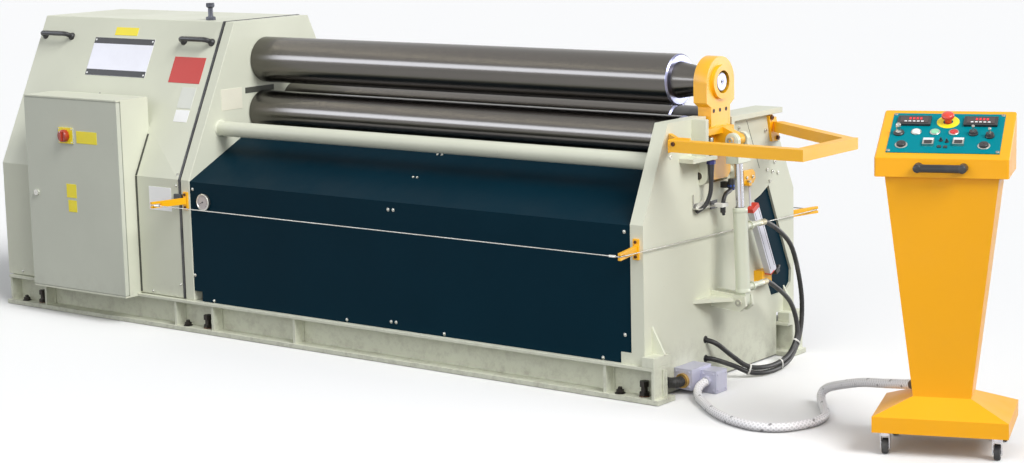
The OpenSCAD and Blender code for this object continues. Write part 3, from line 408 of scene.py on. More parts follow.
# Braided steel conduit from the junction box along the floor to the console: a woven tinned-wire
# cover over a flexible core, with dark tracer wires in the weave.
weave, take, give = effect("wire_braid", Lay=4.0, Colour=(0.6, 0.6, 0.6, 1))


def zigzag(value):
    """Up and down again once in every two steps, like a strand that crosses others."""
    return maths(weave, "PINGPONG", value, 1.0)


def grey_of(net, shade):
    return node(net, "CombineColor", Red=shade, Green=shade, Blue=shade).outputs[0]


place_on = node(weave, "SeparateXYZ", Vector=node(weave, "TexCoord").outputs["UV"]).outputs
step = maths(weave, "DIVIDE", 1.0, take["Lay"])
rise = times(weave, plus(weave, place_on["X"], place_on["Y"]), step)
fall = times(weave, maths(weave, "SUBTRACT", place_on["X"], place_on["Y"]), step)
over = maths(weave, "MAXIMUM", zigzag(rise), zigzag(fall))
threads = zigzag(times(weave, rise, 4.0))
tracer = maths(weave, "MAXIMUM", remap(weave, zigzag(times(weave, rise, 0.1)), 0.0, 0.14),
               remap(weave, zigzag(times(weave, fall, 0.31)), 0.2, 0.4))
shade = times(weave, remap(weave, over, 0.35, 0.95, 0.7, 1.0), remap(weave, tracer, 0.0, 1.0, 0.2, 1.0))
close_effect(weave, give, Height=plus(weave, over, times(weave, threads, 0.25)),
             Roughness=remap(weave, over, 0.3, 1.0, 0.55, 0.36),
             Colour=blend_colour(weave, "MULTIPLY", 1.0, take["Colour"], grey_of(weave, shade)))
braid = surface("tinned_braid", weave, 0.6, 0.001, (255, 253, 255), dict(Lay=8.0))

conduit_d = 31
conduit_route = [(1786, -254, 44), (1787, -296, 34), (1816, -350, 20), (1875, -410, 16),
    (1975, -498, 16), (2085, -566, 16), (2200, -596, 16), (2285, -562, 16), (2330, -480, 16),
    (2338, -400, 16), (2312, -322, 16), (2256, -238, 17), (2210, -172, 24), (2202, -146, 42),
    (2244, -176, 68), (2320, -232, 98), (2454, -322, 142), (2590, -410, 174), (2730, -498, 207)]
fine_route = smooth_route(conduit_route, 6)
length = swept(fine_route, conduit_d / 2, 20)
conduit = finished("conduit_braid", braid, crease=60, instead_of="console_conduit")

# Base: welded beams and cross members in the machine's pale green-grey paint. Every painted steel
# piece is sprayed, so the paint has faint clouds, orange peel and some workshop dust low down.
sprayed, take, give = effect("sprayed_paint", Colour=(0.8, 0.8, 0.8, 1), Cloud=0.06, Dust=0.5, Sheen=0.4)
where = node(sprayed, "TexCoord").outputs["Object"]
cloud = remap(sprayed, speckle(sprayed, where, 1.7, 4.0, 0.55), 0.3, 0.7, -1.0, 1.0)
lift = plus(sprayed, times(sprayed, cloud, take["Cloud"]), 1.0)
shift = node(sprayed, "CombineColor", Red=lift, Green=lift, Blue=times(sprayed, lift, 0.997)).outputs[0]
height = node(sprayed, "SeparateXYZ", Vector=where).outputs["Z"]
spots = remap(sprayed, speckle(sprayed, where, 24.0, 6.0, 0.7), 0.46, 0.72)
low = times(sprayed, times(sprayed, remap(sprayed, height, 0.0, 0.22, 1.0, 0.0), spots), take["Dust"])
flecks = remap(sprayed, speckle(sprayed, where, 85.0), 0.74, 0.80, 0.0, 0.35)
smear = remap(sprayed, speckle(sprayed, where, 5.0, 4.0, 0.6), 0.35, 0.65, -0.05, 0.09)
colour = blend_colour(sprayed, "MULTIPLY", 1.0, take["Colour"], shift)
colour = blend_colour(sprayed, "MIX", low, colour, (0.30, 0.27, 0.22, 1))
colour = blend_colour(sprayed, "MIX", times(sprayed, flecks, take["Dust"]), colour, (0.22, 0.21, 0.18, 1))
close_effect(sprayed, give, Colour=colour, Height=speckle(sprayed, where, 420.0),
             Roughness=plus(sprayed, take["Sheen"], plus(sprayed, smear, times(sprayed, low, 0.3))))


def painted(name, colour, sheen=0.42, cloud=0.05, dust=0.5, peel=0.12, coat=0.0, flow=0.5):
    """Sprayed paint on steel; flow is how glossy the paint dries."""
    return surface(name, sprayed, peel, 0.0006, colour, dict(Cloud=cloud, Dust=dust, Sheen=sheen),
                   Coat_Weight=coat, Specular_IOR_Level=flow)


def dress(names, paint, rounding=0.0, steps=2):
    """Gives CAD nodes their finish, and breaks their sharp edges by that many millimetres."""
    for name in names.split():
        o = NODES[name]
        o.data.materials.clear()
        o.data.materials.append(paint)
        if rounding:
            o.modifiers.new("join", "WELD").merge_threshold = 0.00003
            round_edges(o, rounding, steps, 32)


machine_paint = painted("machine_paint", (219, 221, 203), flow=0.18)
dress("base_front_beam base_rear_beam base_cross_members", machine_paint, 1.6)
bolt_steel = metal("blackened_bolt", (58, 55, 52), 0.45, 0.5, (60, 60, 60), 0.2)
bright_steel = metal("zinc_plate", (196, 195, 188), 0.3, 0.3, (80, 80, 80), 0.1)
dress("levelling_bolts", bolt_steel, 0.8)

# Floor anchors: a nut and washer on a threaded rod at each of the six holes, all in blackened
# steel, and a rusty pad under each of the six levelling bolts.
for x in (-1646, -624, 1566):
    for y in (-468, 493):
        turned((x, y, 4), UP, [(0, 8), (36, 8), (38, 6.5), (38, 0)], 18)
        turned((x, y, 18), UP, [(0, 19), (2.5, 19), (3, 18.4), (3, 0)])
        turned((x, y, 21), UP, [(0, 13.5), (1, 14.5), (11, 14.5), (12, 13.5), (12, 0)], 6)
finished("floor_anchors", bolt_steel)
rusty_steel = metal("brass_pad", (96, 62, 40), 0.5, 0.5, (60, 60, 60), 0.1, metallic=0.4)
for x in (-1544, -514, 1665):
    for y in (-460, 485):
        turned((x, y, 18), UP, [(0, 19), (3, 19), (4, 18), (4, 0)], 24)
finished("levelling_pads", rusty_steel)

# Weld beads beside the ribs of the front beam, laid by hand, so each swells and thins a little
# along its length. They are painted over with the beam.
bead_y, bead_low, bead_long, bead_steps = -441, 14, 105, 16
for x in (-1740, -1493, -675, -458, 0, 1514, 1740):
    for beside in (-7, 7):
        bead = [Vector((x + beside, bead_y, bead_low + bead_long * k / bead_steps))
                for k in range(bead_steps + 1)]
        swept(bead, lambda i: 2.6 + 0.5 * math.sin(i * 2.1), 6)
finished("base_welds", machine_paint, crease=60)

# Side frames: thick flame-cut plates with their ribs, feet, bearing plate and tie tubes. A round
# weld holds each tie tube to the plates at its ends.
dress("left_frame right_frame lower_roll_bearings", machine_paint, 3.0)
dress("right_frame_ribs hinge_bracket cylinder_bracket", machine_paint, 2.0)
dress("tie_tubes", machine_paint)
for y, z in ((-282, 825), (360, 830)):
    for x, way in ((-570, 1), (1624, -1)):
        turned((x, y, z), (way, 0, 0), [(0, 36), (2, 35.5), (5, 32.5), (6, 31), (0, 30)], 36)
finished("tube_welds", machine_paint, crease=60)


def cap_screw(at, out, across, head):
    """Round screw head with a socket."""
    r = across / 2
    turned(at, out, [(0, r), (head - 1, r), (head, r - 1), (head, r * 0.55), (head * 0.45, r * 0.5),
                     (head * 0.4, 0)], 20)


def both_ends(pin, reach, profile, sides=28):
    """The same turned form on both ends of a pin, so far from its middle."""
    x, y, z = pin
    for way in (-1, 1):
        turned((x, y + way * reach, z), (0, way, 0), profile, sides)


# Outer face of the right frame: socket screws in zinc-plated steel, the dark joint line between
# the frame's two plates behind the yoke, and the ends of the hinge pin with their grease nipples.
for y, z in ((148, 905), (332, 875), (399, 750), (344, 726), (382, 715), (422, 706), (364, 681)):
    cap_screw((frame_face, y, z), RIGHT, 13, 6)
cap_screw((frame_face, -300, 850), RIGHT, 16, 3)
finished("frame_screws", bright_steel)
# Dark of real joints and seams, also painted shade in the top roll's centre hole and the left frame's slot.
dark_seam_and_shade = moulded("seam_shadow", (70, 72, 64), 0.7, 500.0, 0.1, 0.02)
swept([Vector((frame_face - 0.1, y, z)) for y, z in ((205, 925), (249, 832), (293, 738))], 1.2, 6)
finished("frame_joint_line", dark_seam_and_shade)
hinge_steel = metal("pin_end_steel", (96, 92, 84), 0.4, 0.4, (80, 80, 80), 0.1)
both_ends((1680, 0, 760), 122, [(0, 13.4), (1, 13.4), (1.4, 12.8), (1.4, 9.6), (0.6, 9.4), (0.6, 6),
                                (1.6, 5.4), (1.6, 3), (0.4, 2.6), (0.4, 0)])
finished("hinge_pin_ends", hinge_steel)

# Rolls: forged steel, turned and ground. Fine rings run round each barrel, so lamps draw out into
# lines along it; faint streaks and soft clouds of shade come from grinding and handling.
rings, take, give = effect("turned_rings", Colour=(0.4, 0.38, 0.36, 1), Sheen=0.24)
where = node(rings, "TexCoord").outputs["Object"]
cut = speckle(rings, stretched(rings, where, (900.0, 3.0, 3.0)), 1.0, 3.0, 0.7)
streak = speckle(rings, stretched(rings, where, (1.1, 46.0, 46.0)), 1.0, 4.0, 0.65)
stain = speckle(rings, where, 3.5, 5.0, 0.6)
shade = times(rings, remap(rings, streak, 0.3, 0.7, 0.97, 1.03), remap(rings, cut, 0.3, 0.7, 0.98, 1.02))
shade = times(rings, shade, remap(rings, stain, 0.35, 0.7, 1.02, 0.97))
uneven = plus(rings, remap(rings, streak, 0.3, 0.7, -0.004, 0.006), remap(rings, cut, 0.3, 0.7, -0.01, 0.012))
close_effect(rings, give, Height=cut, Roughness=plus(rings, take["Sheen"], uneven),
             Colour=blend_colour(rings, "MULTIPLY", 1.0, take["Colour"], grey_of(rings, shade)))


def turned_steel(name, colour, sheen, draw_out):
    """Turned roll steel; draw_out is how far the rings stretch a highlight along the roll."""
    m = surface(name, rings, 0.012, 0.0003, colour, dict(Sheen=sheen), Metallic=1.0,
                Anisotropic=draw_out, Anisotropic_Rotation=0.25)
    net = m.node_tree
    lathe_way = node(net, "Tangent", direction_type="RADIAL", axis="X").outputs[0]
    wire(net, lathe_way, net.nodes["Principled BSDF"].inputs["Tangent"])
    return m


roll_steel = turned_steel("roll_steel", (104, 101, 97), 0.235, 0.85)
face_steel = turned_steel("faced_steel", (150, 152, 180), 0.3, 0.0)
dress("top_roll front_roll rear_roll", roll_steel)
for name in ("top_roll", "front_roll", "rear_roll"):
    NODES[name].data.set_sharp_from_angle(angle=math.radians(25))

# Faced ends of the rolls: a bright chamfered ring where each barrel ends, the tip of the top roll with a dark
# disc of painted shade in its centre hole, and a narrower sleeve on the rear roll's end in black painted
# shade.
top_axis, front_axis, rear_axis = (0, 1089), (-27, 873), (172, 893)
# Black for the rear roll's end: painted shade, where that end of the barrel lies in shadow.
roll_end_shade_black = moulded("painted_shade_roll_end", (44, 42, 42), 0.34, 300.0, 0.2, 0.04, 0.2)
tip_x = 1701.9
for name, paint, roll_name, x, axis, sides, profile in (
        ("top_roll_end_face", face_steel, "top_roll", 1519.6, top_axis, 96,
         [(0, 95.15), (1.5, 95.15), (6.6, 89.5), (6.9, 72), (6.5, 60), (0, 60)]),
        ("top_roll_tip", face_steel, "top_roll", tip_x, top_axis, 48,
         [(0, 31), (0.9, 31), (1.8, 29.8), (1.8, 11), (0.6, 9), (0.6, 5.5), (-0.5, 4.6), (-0.5, 0)]),
        # dark disc in the tip's centre recess: painted shade of the hole
        ("centre_hole_shade", dark_seam_and_shade, "top_roll", tip_x, top_axis, 20, [(0.7, 5.4), (0.75, 5.4), (0.75, 0)]),
        ("front_roll_end_face", face_steel, "front_roll", 1553.6, front_axis, 96,
         [(0, 88.15), (1.5, 88.15), (6.6, 82.5), (6.9, 60), (0, 56)]),
        ("rear_roll_end_face", face_steel, "rear_roll", 1401.6, rear_axis, 96,
         [(0, 88.15), (1.5, 88.15), (6.6, 82.5), (6.9, 80.4), (0, 80.2)]),
        ("rear_roll_shaded_end", roll_end_shade_black, "rear_roll", 1408.6, rear_axis, 96,
         [(0, 80.2), (0, 80.5), (148, 80.5), (151.6, 77), (151.8, 38), (150, 37.2)])):
    turned((x, *axis), RIGHT, profile, sides)
    finished(name, paint, roll_name, crease=25)

# Drop end: thick amber yoke with three tapped holes and a seat for the roll tip, whose dark brown insides are
# painted shade, and its lever with a pin that is closed by zinc-plated caps over painted washers.
amber_paint = painted("amber_paint", (250, 184, 18), 0.36, 0.05, 0.2, 0.1, flow=0.75)
dress("yoke", amber_paint, 2.5, 3)
dress("yoke_lever", amber_paint, 1.2)
# Dark brown in the yoke's holes and seat: painted shade in those recesses.
hole_shade_dark = moulded("painted_hole_shade", (46, 34, 20), 0.6, 400.0, 0.1, 0.02)
for y in (-46, -5, 36):
    turned((1697.2, y, 988), RIGHT, [(0, 7.6), (0.4, 7.6), (0.4, 6.3), (-1, 6.0)], 24)
    turned((1690, y, 988), RIGHT, [(0, 6.1), (1, 6.1), (1, 0)], 20)
finished("yoke_hole_shade", hole_shade_dark, "yoke")
turned((1655, *top_axis), RIGHT, [(0, 51.2), (0, 49.8), (53.8, 41.2), (53.8, 42.2), (0, 51.2)], 64)
finished("yoke_seat_shade", hole_shade_dark, "yoke")
lever_pin, lower_pin = (1781, -20, 887), (1801, -20, 298)
pin_cap = [(0, 12.6), (2, 12.6), (2.8, 11.8), (2.8, 5), (0.6, 4.6), (0.6, 0)]

both_ends(lever_pin, 52, pin_cap, 32)
finished("lever_pin_caps", bright_steel, "yoke")
both_ends(lever_pin, 42.3, [(0, 23), (1.6, 23), (2.2, 22.2), (2.2, 12.4)], 36)
finished("lever_pin_washers", machine_paint, "yoke")

# Hydraulic cylinder: painted barrel with a gland nut, ground chrome rod and the fork on its end,
# two screwed port fittings for the hoses, and zinc-plated caps on the lower pin.
tilt = math.atan2(lever_pin[0] - lower_pin[0], lever_pin[2] - lower_pin[2])
pin_line = Matrix.Translation(lower_pin) @ Matrix.Rotation(tilt, 4, "Y")
cylinder_paint = painted("cylinder_paint", (214, 219, 200), 0.3, 0.04, 0.2, 0.08, 0.2)
dress("cylinder_barrel", cylinder_paint, 1.0)
dress("rod_clevis", cylinder_paint, 2.2, 3)
chrome = metal("ground_chrome", (214, 214, 220), 0.12, 0.08, (400, 400, 40), 0.02)
dress("cylinder_rod", chrome)


def along_cylinder(z, profile, sides):
    """Turned form round the cylinder's own line, so far above the lower pin."""
    turned(pin_line @ Vector((0, 0, z)), pin_line.to_3x3() @ Vector(UP), profile, sides)


along_cylinder(325, [(0, 26.2), (1.5, 27), (13, 27), (16.2, 25), (16.4, 19), (18.5, 18.4), (18.5, 15.3)], 48)
along_cylinder(34, [(0, 25), (1.5, 27), (12, 27), (13.5, 26.2)], 48)
finished("cylinder_gland", cylinder_paint, "barrel")
along_cylinder(342.8, [(0, 18.3), (2.2, 17.8), (2.6, 15.2)], 36)
finished("rod_wiper", rubber, "barrel")
for z in (47, 269):
    for reach in (66.2, 86):
        turned(pin_line @ Vector((0, reach, z)), BACK,
               [(0, 10.8), (1, 11.6), (11, 11.6), (12.5, 10.6), (12.5, 9.6)], 6)
    turned(pin_line @ Vector((0, 29, z)), BACK, [(-5, 14), (0, 15), (8, 15), (11, 12.3)])
finished("port_fittings", machine_paint, "barrel")
both_ends(lower_pin, 36, pin_cap, 32)
finished("lower_pin_caps", bright_steel)

# Covers: folded navy sheets between the frames, front and rear, held by zinc pan screws; the
# slanted window of the right frame is closed with the same sheet.
navy_paint = painted("navy_paint", (4, 37, 50), 0.42, 0.07, 0.0, 0.1, flow=0.04)
dress("front_cover rear_cover side_cover", navy_paint)
screw_zinc = metal("zinc_screw", (176, 176, 168), 0.34, 0.3, (80, 80, 80), 0.1)


def pan_screw(at, out, across):
    """Round-headed screw on its washer."""
    r = across / 2
    turned(at, out, [(0, r * 1.35), (1, r * 1.35), (1.4, r * 1.2), (1.4, r), (3.4, r * 0.92), (5, r * 0.62),
                     (5.6, r * 0.3), (4.2, r * 0.24), (4.2, 0)], 20)


def block(low, high, place=None):
    """Adds a square-cut block between two corners."""
    low, high = Vector(low), Vector(high)
    new = bmesh.ops.create_cube(bench, size=1.0)["verts"]
    bmesh.ops.transform(bench, verts=new, matrix=(place or Matrix()) @ Matrix.Translation((low + high) / 2)
                        @ Matrix.Diagonal((*(high - low), 1)))


for x, z in ((-554, 596), (-562, 238), (-457, 140), (274, 142), (505, 595), (531, 595), (503, 160),
             (528, 160), (766, 142), (1598, 602), (1596, 234), (1499, 140)):
    pan_screw((x, -474, z), FRONT, 10)
for x, y, z in ((505, -321, 700), (525, -321, 700), (507, -175, 770.5), (530, -175, 770.5)):
    pan_screw((x, y, z), (0, -0.435, 0.9), 9)
for x in (-535, 520, 1588):
    for z in (190, 600):
        pan_screw((x, 534, z), BACK, 10)
finished("cover_screws", screw_zinc)
block((1579, -476.6, 131.5), (1624, -472.5, 172))
finished("cover_corner_plate", machine_paint)

# Drive housing: welded sheet box with a black seal, a gasketed seam down its front and pan
# screws. Its front stands upright to a crease, and leans back above it.
housing_paint = painted("housing_paint", (219, 221, 203), 0.40, 0.06, 0.5, 0.14, flow=0.18)
dress("drive_housing", housing_paint, 3.5, 3)
dress("housing_seal", rubber)
dress("cabinet_body", housing_paint, 2.0)
front_y, crease_z, lean, left_x = -477, 630, 25.5, -1747
slope = math.radians(lean)
normal = Vector((0, -math.cos(slope), math.sin(slope)))


def face_at(x, y, z, rise=90):
    """Place for flat work on a face that rises so many degrees: x along it, y up it, z off it."""
    return Matrix.Translation((x, y, z)) @ Matrix.Rotation(math.radians(rise), 4, "X")


def lean_y(z):
    """Depth of the leaning front face at that height."""
    return front_y + (z - crease_z) * math.tan(slope)


def slope_at(z):
    """Distance up the leaning face from the crease."""
    return (z - crease_z) / math.cos(slope)


on_lean = face_at(0, front_y, crease_z, 90 - lean)
on_front = face_at(0, front_y, 0)
block((-890, 138, -0.5), (-880, 629, 1.2), on_front)
block((-890, 1, -0.5), (-880, slope_at(797), 1.2), on_lean)
finished("housing_gasket", dark_seam_and_shade)
pan_screw((-645, lean_y(650), 650), normal, 9)
pan_screw((-1252, lean_y(944), 944), normal, 7)
for x, z in ((-646, 604), (-646, 190), (-1650, 150), (-815, 147)):
    pan_screw((x, front_y, z), FRONT, 9)
for y, z in ((-430, 180), (-430, 590), (-120, 1210), (240, 1210), (480, 660), (480, 180)):
    pan_screw((left_x, y, z), (-1, 0, 0), 10)
finished("housing_screws", screw_zinc)

# Cabinet gaskets: pale rubber over, under and behind the door, and the dark seam of the lid
# above it.
gasket_pale = moulded("pale_gasket", (176, 178, 164), 0.6, 500.0, 0.1, 0.02)
block((-1472, -560.5, 941.5), (-894, -545, 946.2))
block((-1472, -560.5, 125.8), (-894, -545, 130.5))
block((-905, -539.2, 131), (-894, -536.8, 941))
finished("door_gaskets", gasket_pale)
swept([Vector((x, lean_y(940) - 0.3, 940)) for x in (-1544, -974)], 0.9, 6)
finished("lid_seam", dark_seam_and_shade, crease=60)

# Grab handles: moulded black bridge handles with flared feet, screwed to the leaning face.
black_plastic = moulded("black_plastic", (34, 34, 36), 0.42, 420.0, 0.12, 0.06, 0.1)
handle_y = slope_at(1172)
for left, right in ((-1718, -1529), (-838, -655)):
    bridge = [(left + 9, 0), (left + 9, 12), (left + 12, 25), (left + 24, 33), (left + 42, 35),
              (right - 42, 35), (right - 24, 33), (right - 12, 25), (right - 9, 12), (right - 9, 0)]
    swept(smooth_route([(x, handle_y, z) for x, z in bridge], 4), 10.6)
    for x in (left + 9, right - 9):
        turned((x, handle_y, 0), UP, [(0, 17), (4, 17), (9, 14), (14, 11)], 24)
finished("bridge_handles", black_plastic, crease=50, place=on_lean, instead_of="lid_handles")

# Oil breather: hexagon foot, slim neck and a ribbed cap, in dark plated steel, screwed into the
# housing's lid.
breather_steel = metal("breather_steel", (84, 86, 94), 0.4, 0.4, (60, 60, 60), 0.1, 0.6)
breather_x, breather_y, ribs = -767, -119, 24
turned((breather_x, breather_y, 1257), UP, [(0, 20.5), (12, 20.5), (14, 19), (14, 0)], 6)
turned((breather_x, breather_y, 1270), UP,
       [(0, 13), (6, 10.5), (38, 10.5), (40, 14), (43, 17), (58, 17), (59, 16), (59, 0)], 40)
for a in (2 * math.pi * k / ribs for k in range(ribs)):
    swept([Vector((breather_x + 16.8 * math.cos(a), breather_y + 16.8 * math.sin(a), z))
           for z in (1315, 1326)], 1.1, 6)
finished("breather_cap", breather_steel, instead_of="oil_breather")

# Bare plates: the large builder's plate with dark bars, a red plate, and small ones in yellow,
# white and grey, each riveted or stuck on.
plate_silver = metal("plate_silver", (226, 226, 234), 0.42, 0.1, (300, 20, 20), 0.04, 0.2)
plate_black, plate_red, plate_yellow, plate_white, plate_cream, plate_grey = (
    moulded("plate_" + name, colour, 0.4, 200.0, dust, 0.02) for name, colour, dust in (
        ("black", (38, 38, 40), 0.05), ("red", (200, 48, 34), 0.0), ("yellow", (254, 234, 36), 0.05),
        ("white", (250, 250, 250), 0.05), ("cream", (236, 233, 214), 0.05), ("grey", (220, 222, 212), 0.05)))
for name, paint, x0, x1, low, high, thick in (
        ("builder_plate", plate_silver, -1381, -1006, 1017, 1174, 1.6),
        ("builder_plate_top_bar", plate_black, -1380.5, -1006.5, 1149, 1173.6, 2.0),
        ("builder_plate_low_bar", plate_black, -1380.5, -1006.5, 1017.4, 1042, 2.0),
        ("red_plate", plate_red, -856, -671, 1006, 1110, 1.4),
        ("yellow_plate", plate_yellow, -1267, -1126, 1186, 1219, 1.2),
        ("small_white_plate", plate_white, -760, -680, 853, 900, 1.2),
        ("small_grey_plate", plate_grey, -762, -678, 907, 990, 1.2)):
    block((x0, slope_at(low), -0.5), (x1, slope_at(high), thick), on_lean)
    finished(name, paint, rounding=0.5)
block((-811, 494, -0.5), (-679, 592, 1.2), on_front)
finished("low_white_plate", plate_white, rounding=0.5)
for x in (-1371, -1016):
    for z in (1026, 1164):
        turned(on_lean @ Vector((x, slope_at(z), 1.8)), normal,
               [(0, 4.5), (1.2, 4.2), (1.8, 2.5), (1.8, 0)], 14)
finished("plate_rivets", plate_white)

# Inner face of the left frame: a bare cream plate stuck on it, and a dark strip over the rear roll, which is
# painted shade where a slot in the frame lies in shadow.
block((-570.5, -273, 896), (-568.8, -151, 984))
finished("inner_plate", plate_cream, rounding=0.6)
# dark strip: painted shade for the slot's shadow
block((-570.6, -131, 956), (-568.6, 40, 980))
finished("inner_slot_shade", dark_seam_and_shade, crease=60)

# Pressure gauge on the front cover: bright bezel, bare grey dial with dark marks, and a dark
# needle on its hub.
dress("pressure_gauge", black_plastic, 1.0)
gauge_x, gauge_z, marks = -488, 548, 21
turned((gauge_x, -482, gauge_z), FRONT,
       [(-5, 34.6), (0, 35), (3, 35), (5.5, 33), (5.5, 30.5), (3.4, 29.4), (3.2, 0)], 56)
finished("gauge_bezel", bright_steel)
dial_grey = moulded("dial_grey", (200, 192, 190), 0.3, 200.0, 0.05, 0.02)
turned((gauge_x, -485.2, gauge_z), FRONT, [(0, 29.2), (0.3, 29.2), (0.3, 0)], 56)
finished("gauge_dial", dial_grey)
gauge_face = face_at(gauge_x, -485.6, gauge_z)
for k in range(marks):
    long = 6 if k % 5 == 0 else 3.4
    swing = Matrix.Rotation(math.radians(225 - 13.5 * k), 4, "Z")
    block((26 - long, -0.5, 0), (26, 0.5, 0.3), gauge_face @ swing)
block((-6, -0.8, 0.8), (22, 0.8, 1.3), gauge_face @ Matrix.Rotation(math.radians(204), 4, "Z"))
turned((gauge_x, -485.6, gauge_z), FRONT, [(0, 3.4), (2, 3), (2, 0)], 18)
finished("gauge_marks", plate_black)

# Cabinet door: painted sheet with a slotted cam lock, and the red main switch on its thick yellow
# plate with a rivet at each corner; three bare yellow plates are stuck on beside and below it.
door_paint = painted("door_paint", (208, 211, 197), 0.38, 0.05, 0.4, 0.16, flow=0.18)
dress("cabinet_door", door_paint, 1.6)
switch_red = moulded("switch_red", (172, 58, 36), 0.34, 220.0, 0.1, 0.03, 0.3)
on_door = face_at(0, -562, 0)
for name, x0, x1, z0, z1, thick in (
        ("switch_plate", -1255, -1165, 756, 824, 6.8), ("door_plate", -1148, -1021, 760, 812, 1.3),
        ("door_plate_low", -1228, -1166, 524, 583, 1.2), ("door_plate_lowest", -1221, -1168, 463, 514, 1.2)):
    block((x0, z0, -0.3), (x1, z1, thick), on_door)
    finished(name, plate_yellow, "door", rounding=1.0)
for z in (762, 818):
    for x in (-1249, -1171):
        turned((x, -568.8, z), FRONT, [(0, 3.4), (1.2, 3), (1.2, 0)], 12)
turned((-1419, -569.5, 533), FRONT, [(0, 13.4), (2, 13.4), (3, 12.4), (3, 4), (0.8, 3.6), (0.8, 0)], 30)
block((-1421.5, 525, 7), (-1416.5, 541, 10.8), on_door)
finished("door_lock", bright_steel, "door")
knob_x, knob_z = -1210, 790
turned((knob_x, -568.5, knob_z), FRONT, [(0, 26), (3, 26.5), (20, 26), (24, 24), (24, 0)], 40)
block((knob_x - 7, knob_z - 22, 20), (knob_x + 7, knob_z + 22, 37.6), on_door)
finished("switch_knob_red", switch_red, "switch_knob", rounding=2.4, steps=3,
         instead_of="main_switch")
block((knob_x - 1.2, knob_z + 16, 37.4), (knob_x + 1.2, knob_z + 22, 38.0), on_door)
finished("switch_pointer", plate_white, "switch_knob")

# Guard: square amber tube with soft corners, an end plate where the arm meets its bent plate, and
# browned socket screws at its fixings and on the trip wire's arms.
guard_paint = painted("guard_paint", (255, 187, 4), 0.42, 0.05, 0.1, 0.1, flow=0.55)
dress("guard_rail", guard_paint, 4.0, 3)
dress("trip_wire_brackets scale_brackets", guard_paint, 1.2)
block((1757, -433.5, 885), (1761, -391, 931))
finished("guard_end_plate", guard_paint, rounding=1.2)
brown_steel = metal("browned_bolt", (92, 54, 28), 0.5, 0.5, (60, 60, 60), 0.2, metallic=0.4)
for y, z in ((362, 921), (405, 841)):
    cap_screw((1689, y, z), RIGHT, 17, 8)
cap_screw((1779, -432, 917), FRONT, 15, 6)
plate_slant = 1.08
for x in (1692, 1716):
    cap_screw((x, -305 - (x - frame_face) * plate_slant, 904), (0.73, -0.68, 0), 13, 4)
for y, out, arm_z in ((-485, FRONT, 546), (548, BACK, 526)):
    for x in (-590, 1652):
        for off in (-26, 26):
            cap_screw((x, y, arm_z + off), out, 11, 5)
finished("guard_bolts", brown_steel)

# Trip wire: twisted steel rope along the front and the back, with a crimped sleeve by each arm.
# The rope is bright galvanised wire.
rope_steel = metal("wire_rope", (176, 174, 168), 0.34, 0.4, (400, 400, 400), 0.6)
dress("trip_wire", rope_steel)
for x, way in ((-628, 1), (1690, -1)):
    for y, z in ((-633, 546), (696, 526)):
        turned((x + way * 18, y, z), (way, 0, 0), [(0, 4.2), (1, 5), (26, 5), (27, 4.2)], 18)
finished("wire_sleeves", bright_steel)

# Position scale: slanted aluminium channel with moulded red end caps, two dark lines along its
# face, a black plug on its lower end, and two screws and a nut that fix it to its bracket.
alu = metal("aluminium_profile", (212, 212, 222), 0.4, 0.1, (20, 20, 500), 0.06, 0.3)
dress("position_scale", alu, 1.2)
red_plastic = moulded("red_plastic", (226, 62, 40), 0.3, 220.0, 0.05, 0.03, 0.4)
scale_top, scale_foot = (161, 617), (289, 352)
run_y, run_z = scale_foot[0] - scale_top[0], scale_foot[1] - scale_top[1]
span = math.hypot(run_y, run_z)
on_scale = Matrix.Translation((1720, *scale_top)) @ Matrix.Rotation(math.atan2(run_y, -run_z), 4, "X")
block((-5.5, -23.5, -17.6), (23.2, 23.5, 0.4), on_scale)
block((-4.5, -23, -span - 0.4), (22.6, 6, -span + 5), on_scale)
finished("scale_end_caps", red_plastic, rounding=1.4)
for y in (-14, 14):
    block((21.8, y - 0.9, -span + 20), (22.4, y + 0.9, -20), on_scale)
finished("scale_marks", plate_black)
block((0, 12, -span - 22), (24, 38, -span - 2), on_scale)
turned(on_scale @ Vector((12, 36, -span - 12)), on_scale.to_3x3() @ Vector(BACK),
       [(0, 8), (12, 8), (16, 5.5), (22, 5)], 18)
finished("scale_plug", black_plastic, rounding=1.4)
for y in (190, 150):
    cap_screw((1712, y, 722), RIGHT, 12, 5)
turned((1720, 155, 704), UP, [(0, 8), (7, 8), (8, 7), (8, 0)], 6)
finished("scale_bolts", bright_steel)

# Proximity switches: moulded threaded bodies with blue nuts, a steel sensing tip, navy nuts on the
# cables, and a zinc-plated bracket with a plug and a white clip.
switch_black = moulded("switch_black", (30, 31, 34), 0.36, 320.0, 0.1, 0.04, 0.2)
dress("proximity_switches", switch_black)
blue_plastic = moulded("blue_plastic", (30, 80, 176), 0.34, 260.0, 0.05, 0.03, 0.3)
navy_plastic = moulded("navy_plastic", (38, 44, 116), 0.36, 260.0, 0.05, 0.03, 0.3)
tall_switch, low_switch = (1724, -108), (1720, 34)
turned((*tall_switch, 848), UP, [(0, 16), (1.2, 17.4), (12.8, 17.4), (14, 16)], 6)
turned((*tall_switch, 866), UP, [(0, 11.5), (10, 11.5), (10.4, 0)])
turned((*low_switch, 704), UP, [(0, 13), (1, 14.6), (8, 14.6), (9, 13)], 6)
finished("switch_nuts", blue_plastic)
turned((*tall_switch, 822), UP, [(0, 7), (1, 11), (22, 11), (23, 9)], 20)
for z in range(825, 846, 3):
    turned((*tall_switch, z), UP, [(0, 11.6), (1.2, 11.6)], 20)
turned((*tall_switch, 745), UP, [(0, 6.5), (4, 9), (30, 10), (62, 12.4), (64, 12.4)], 24)
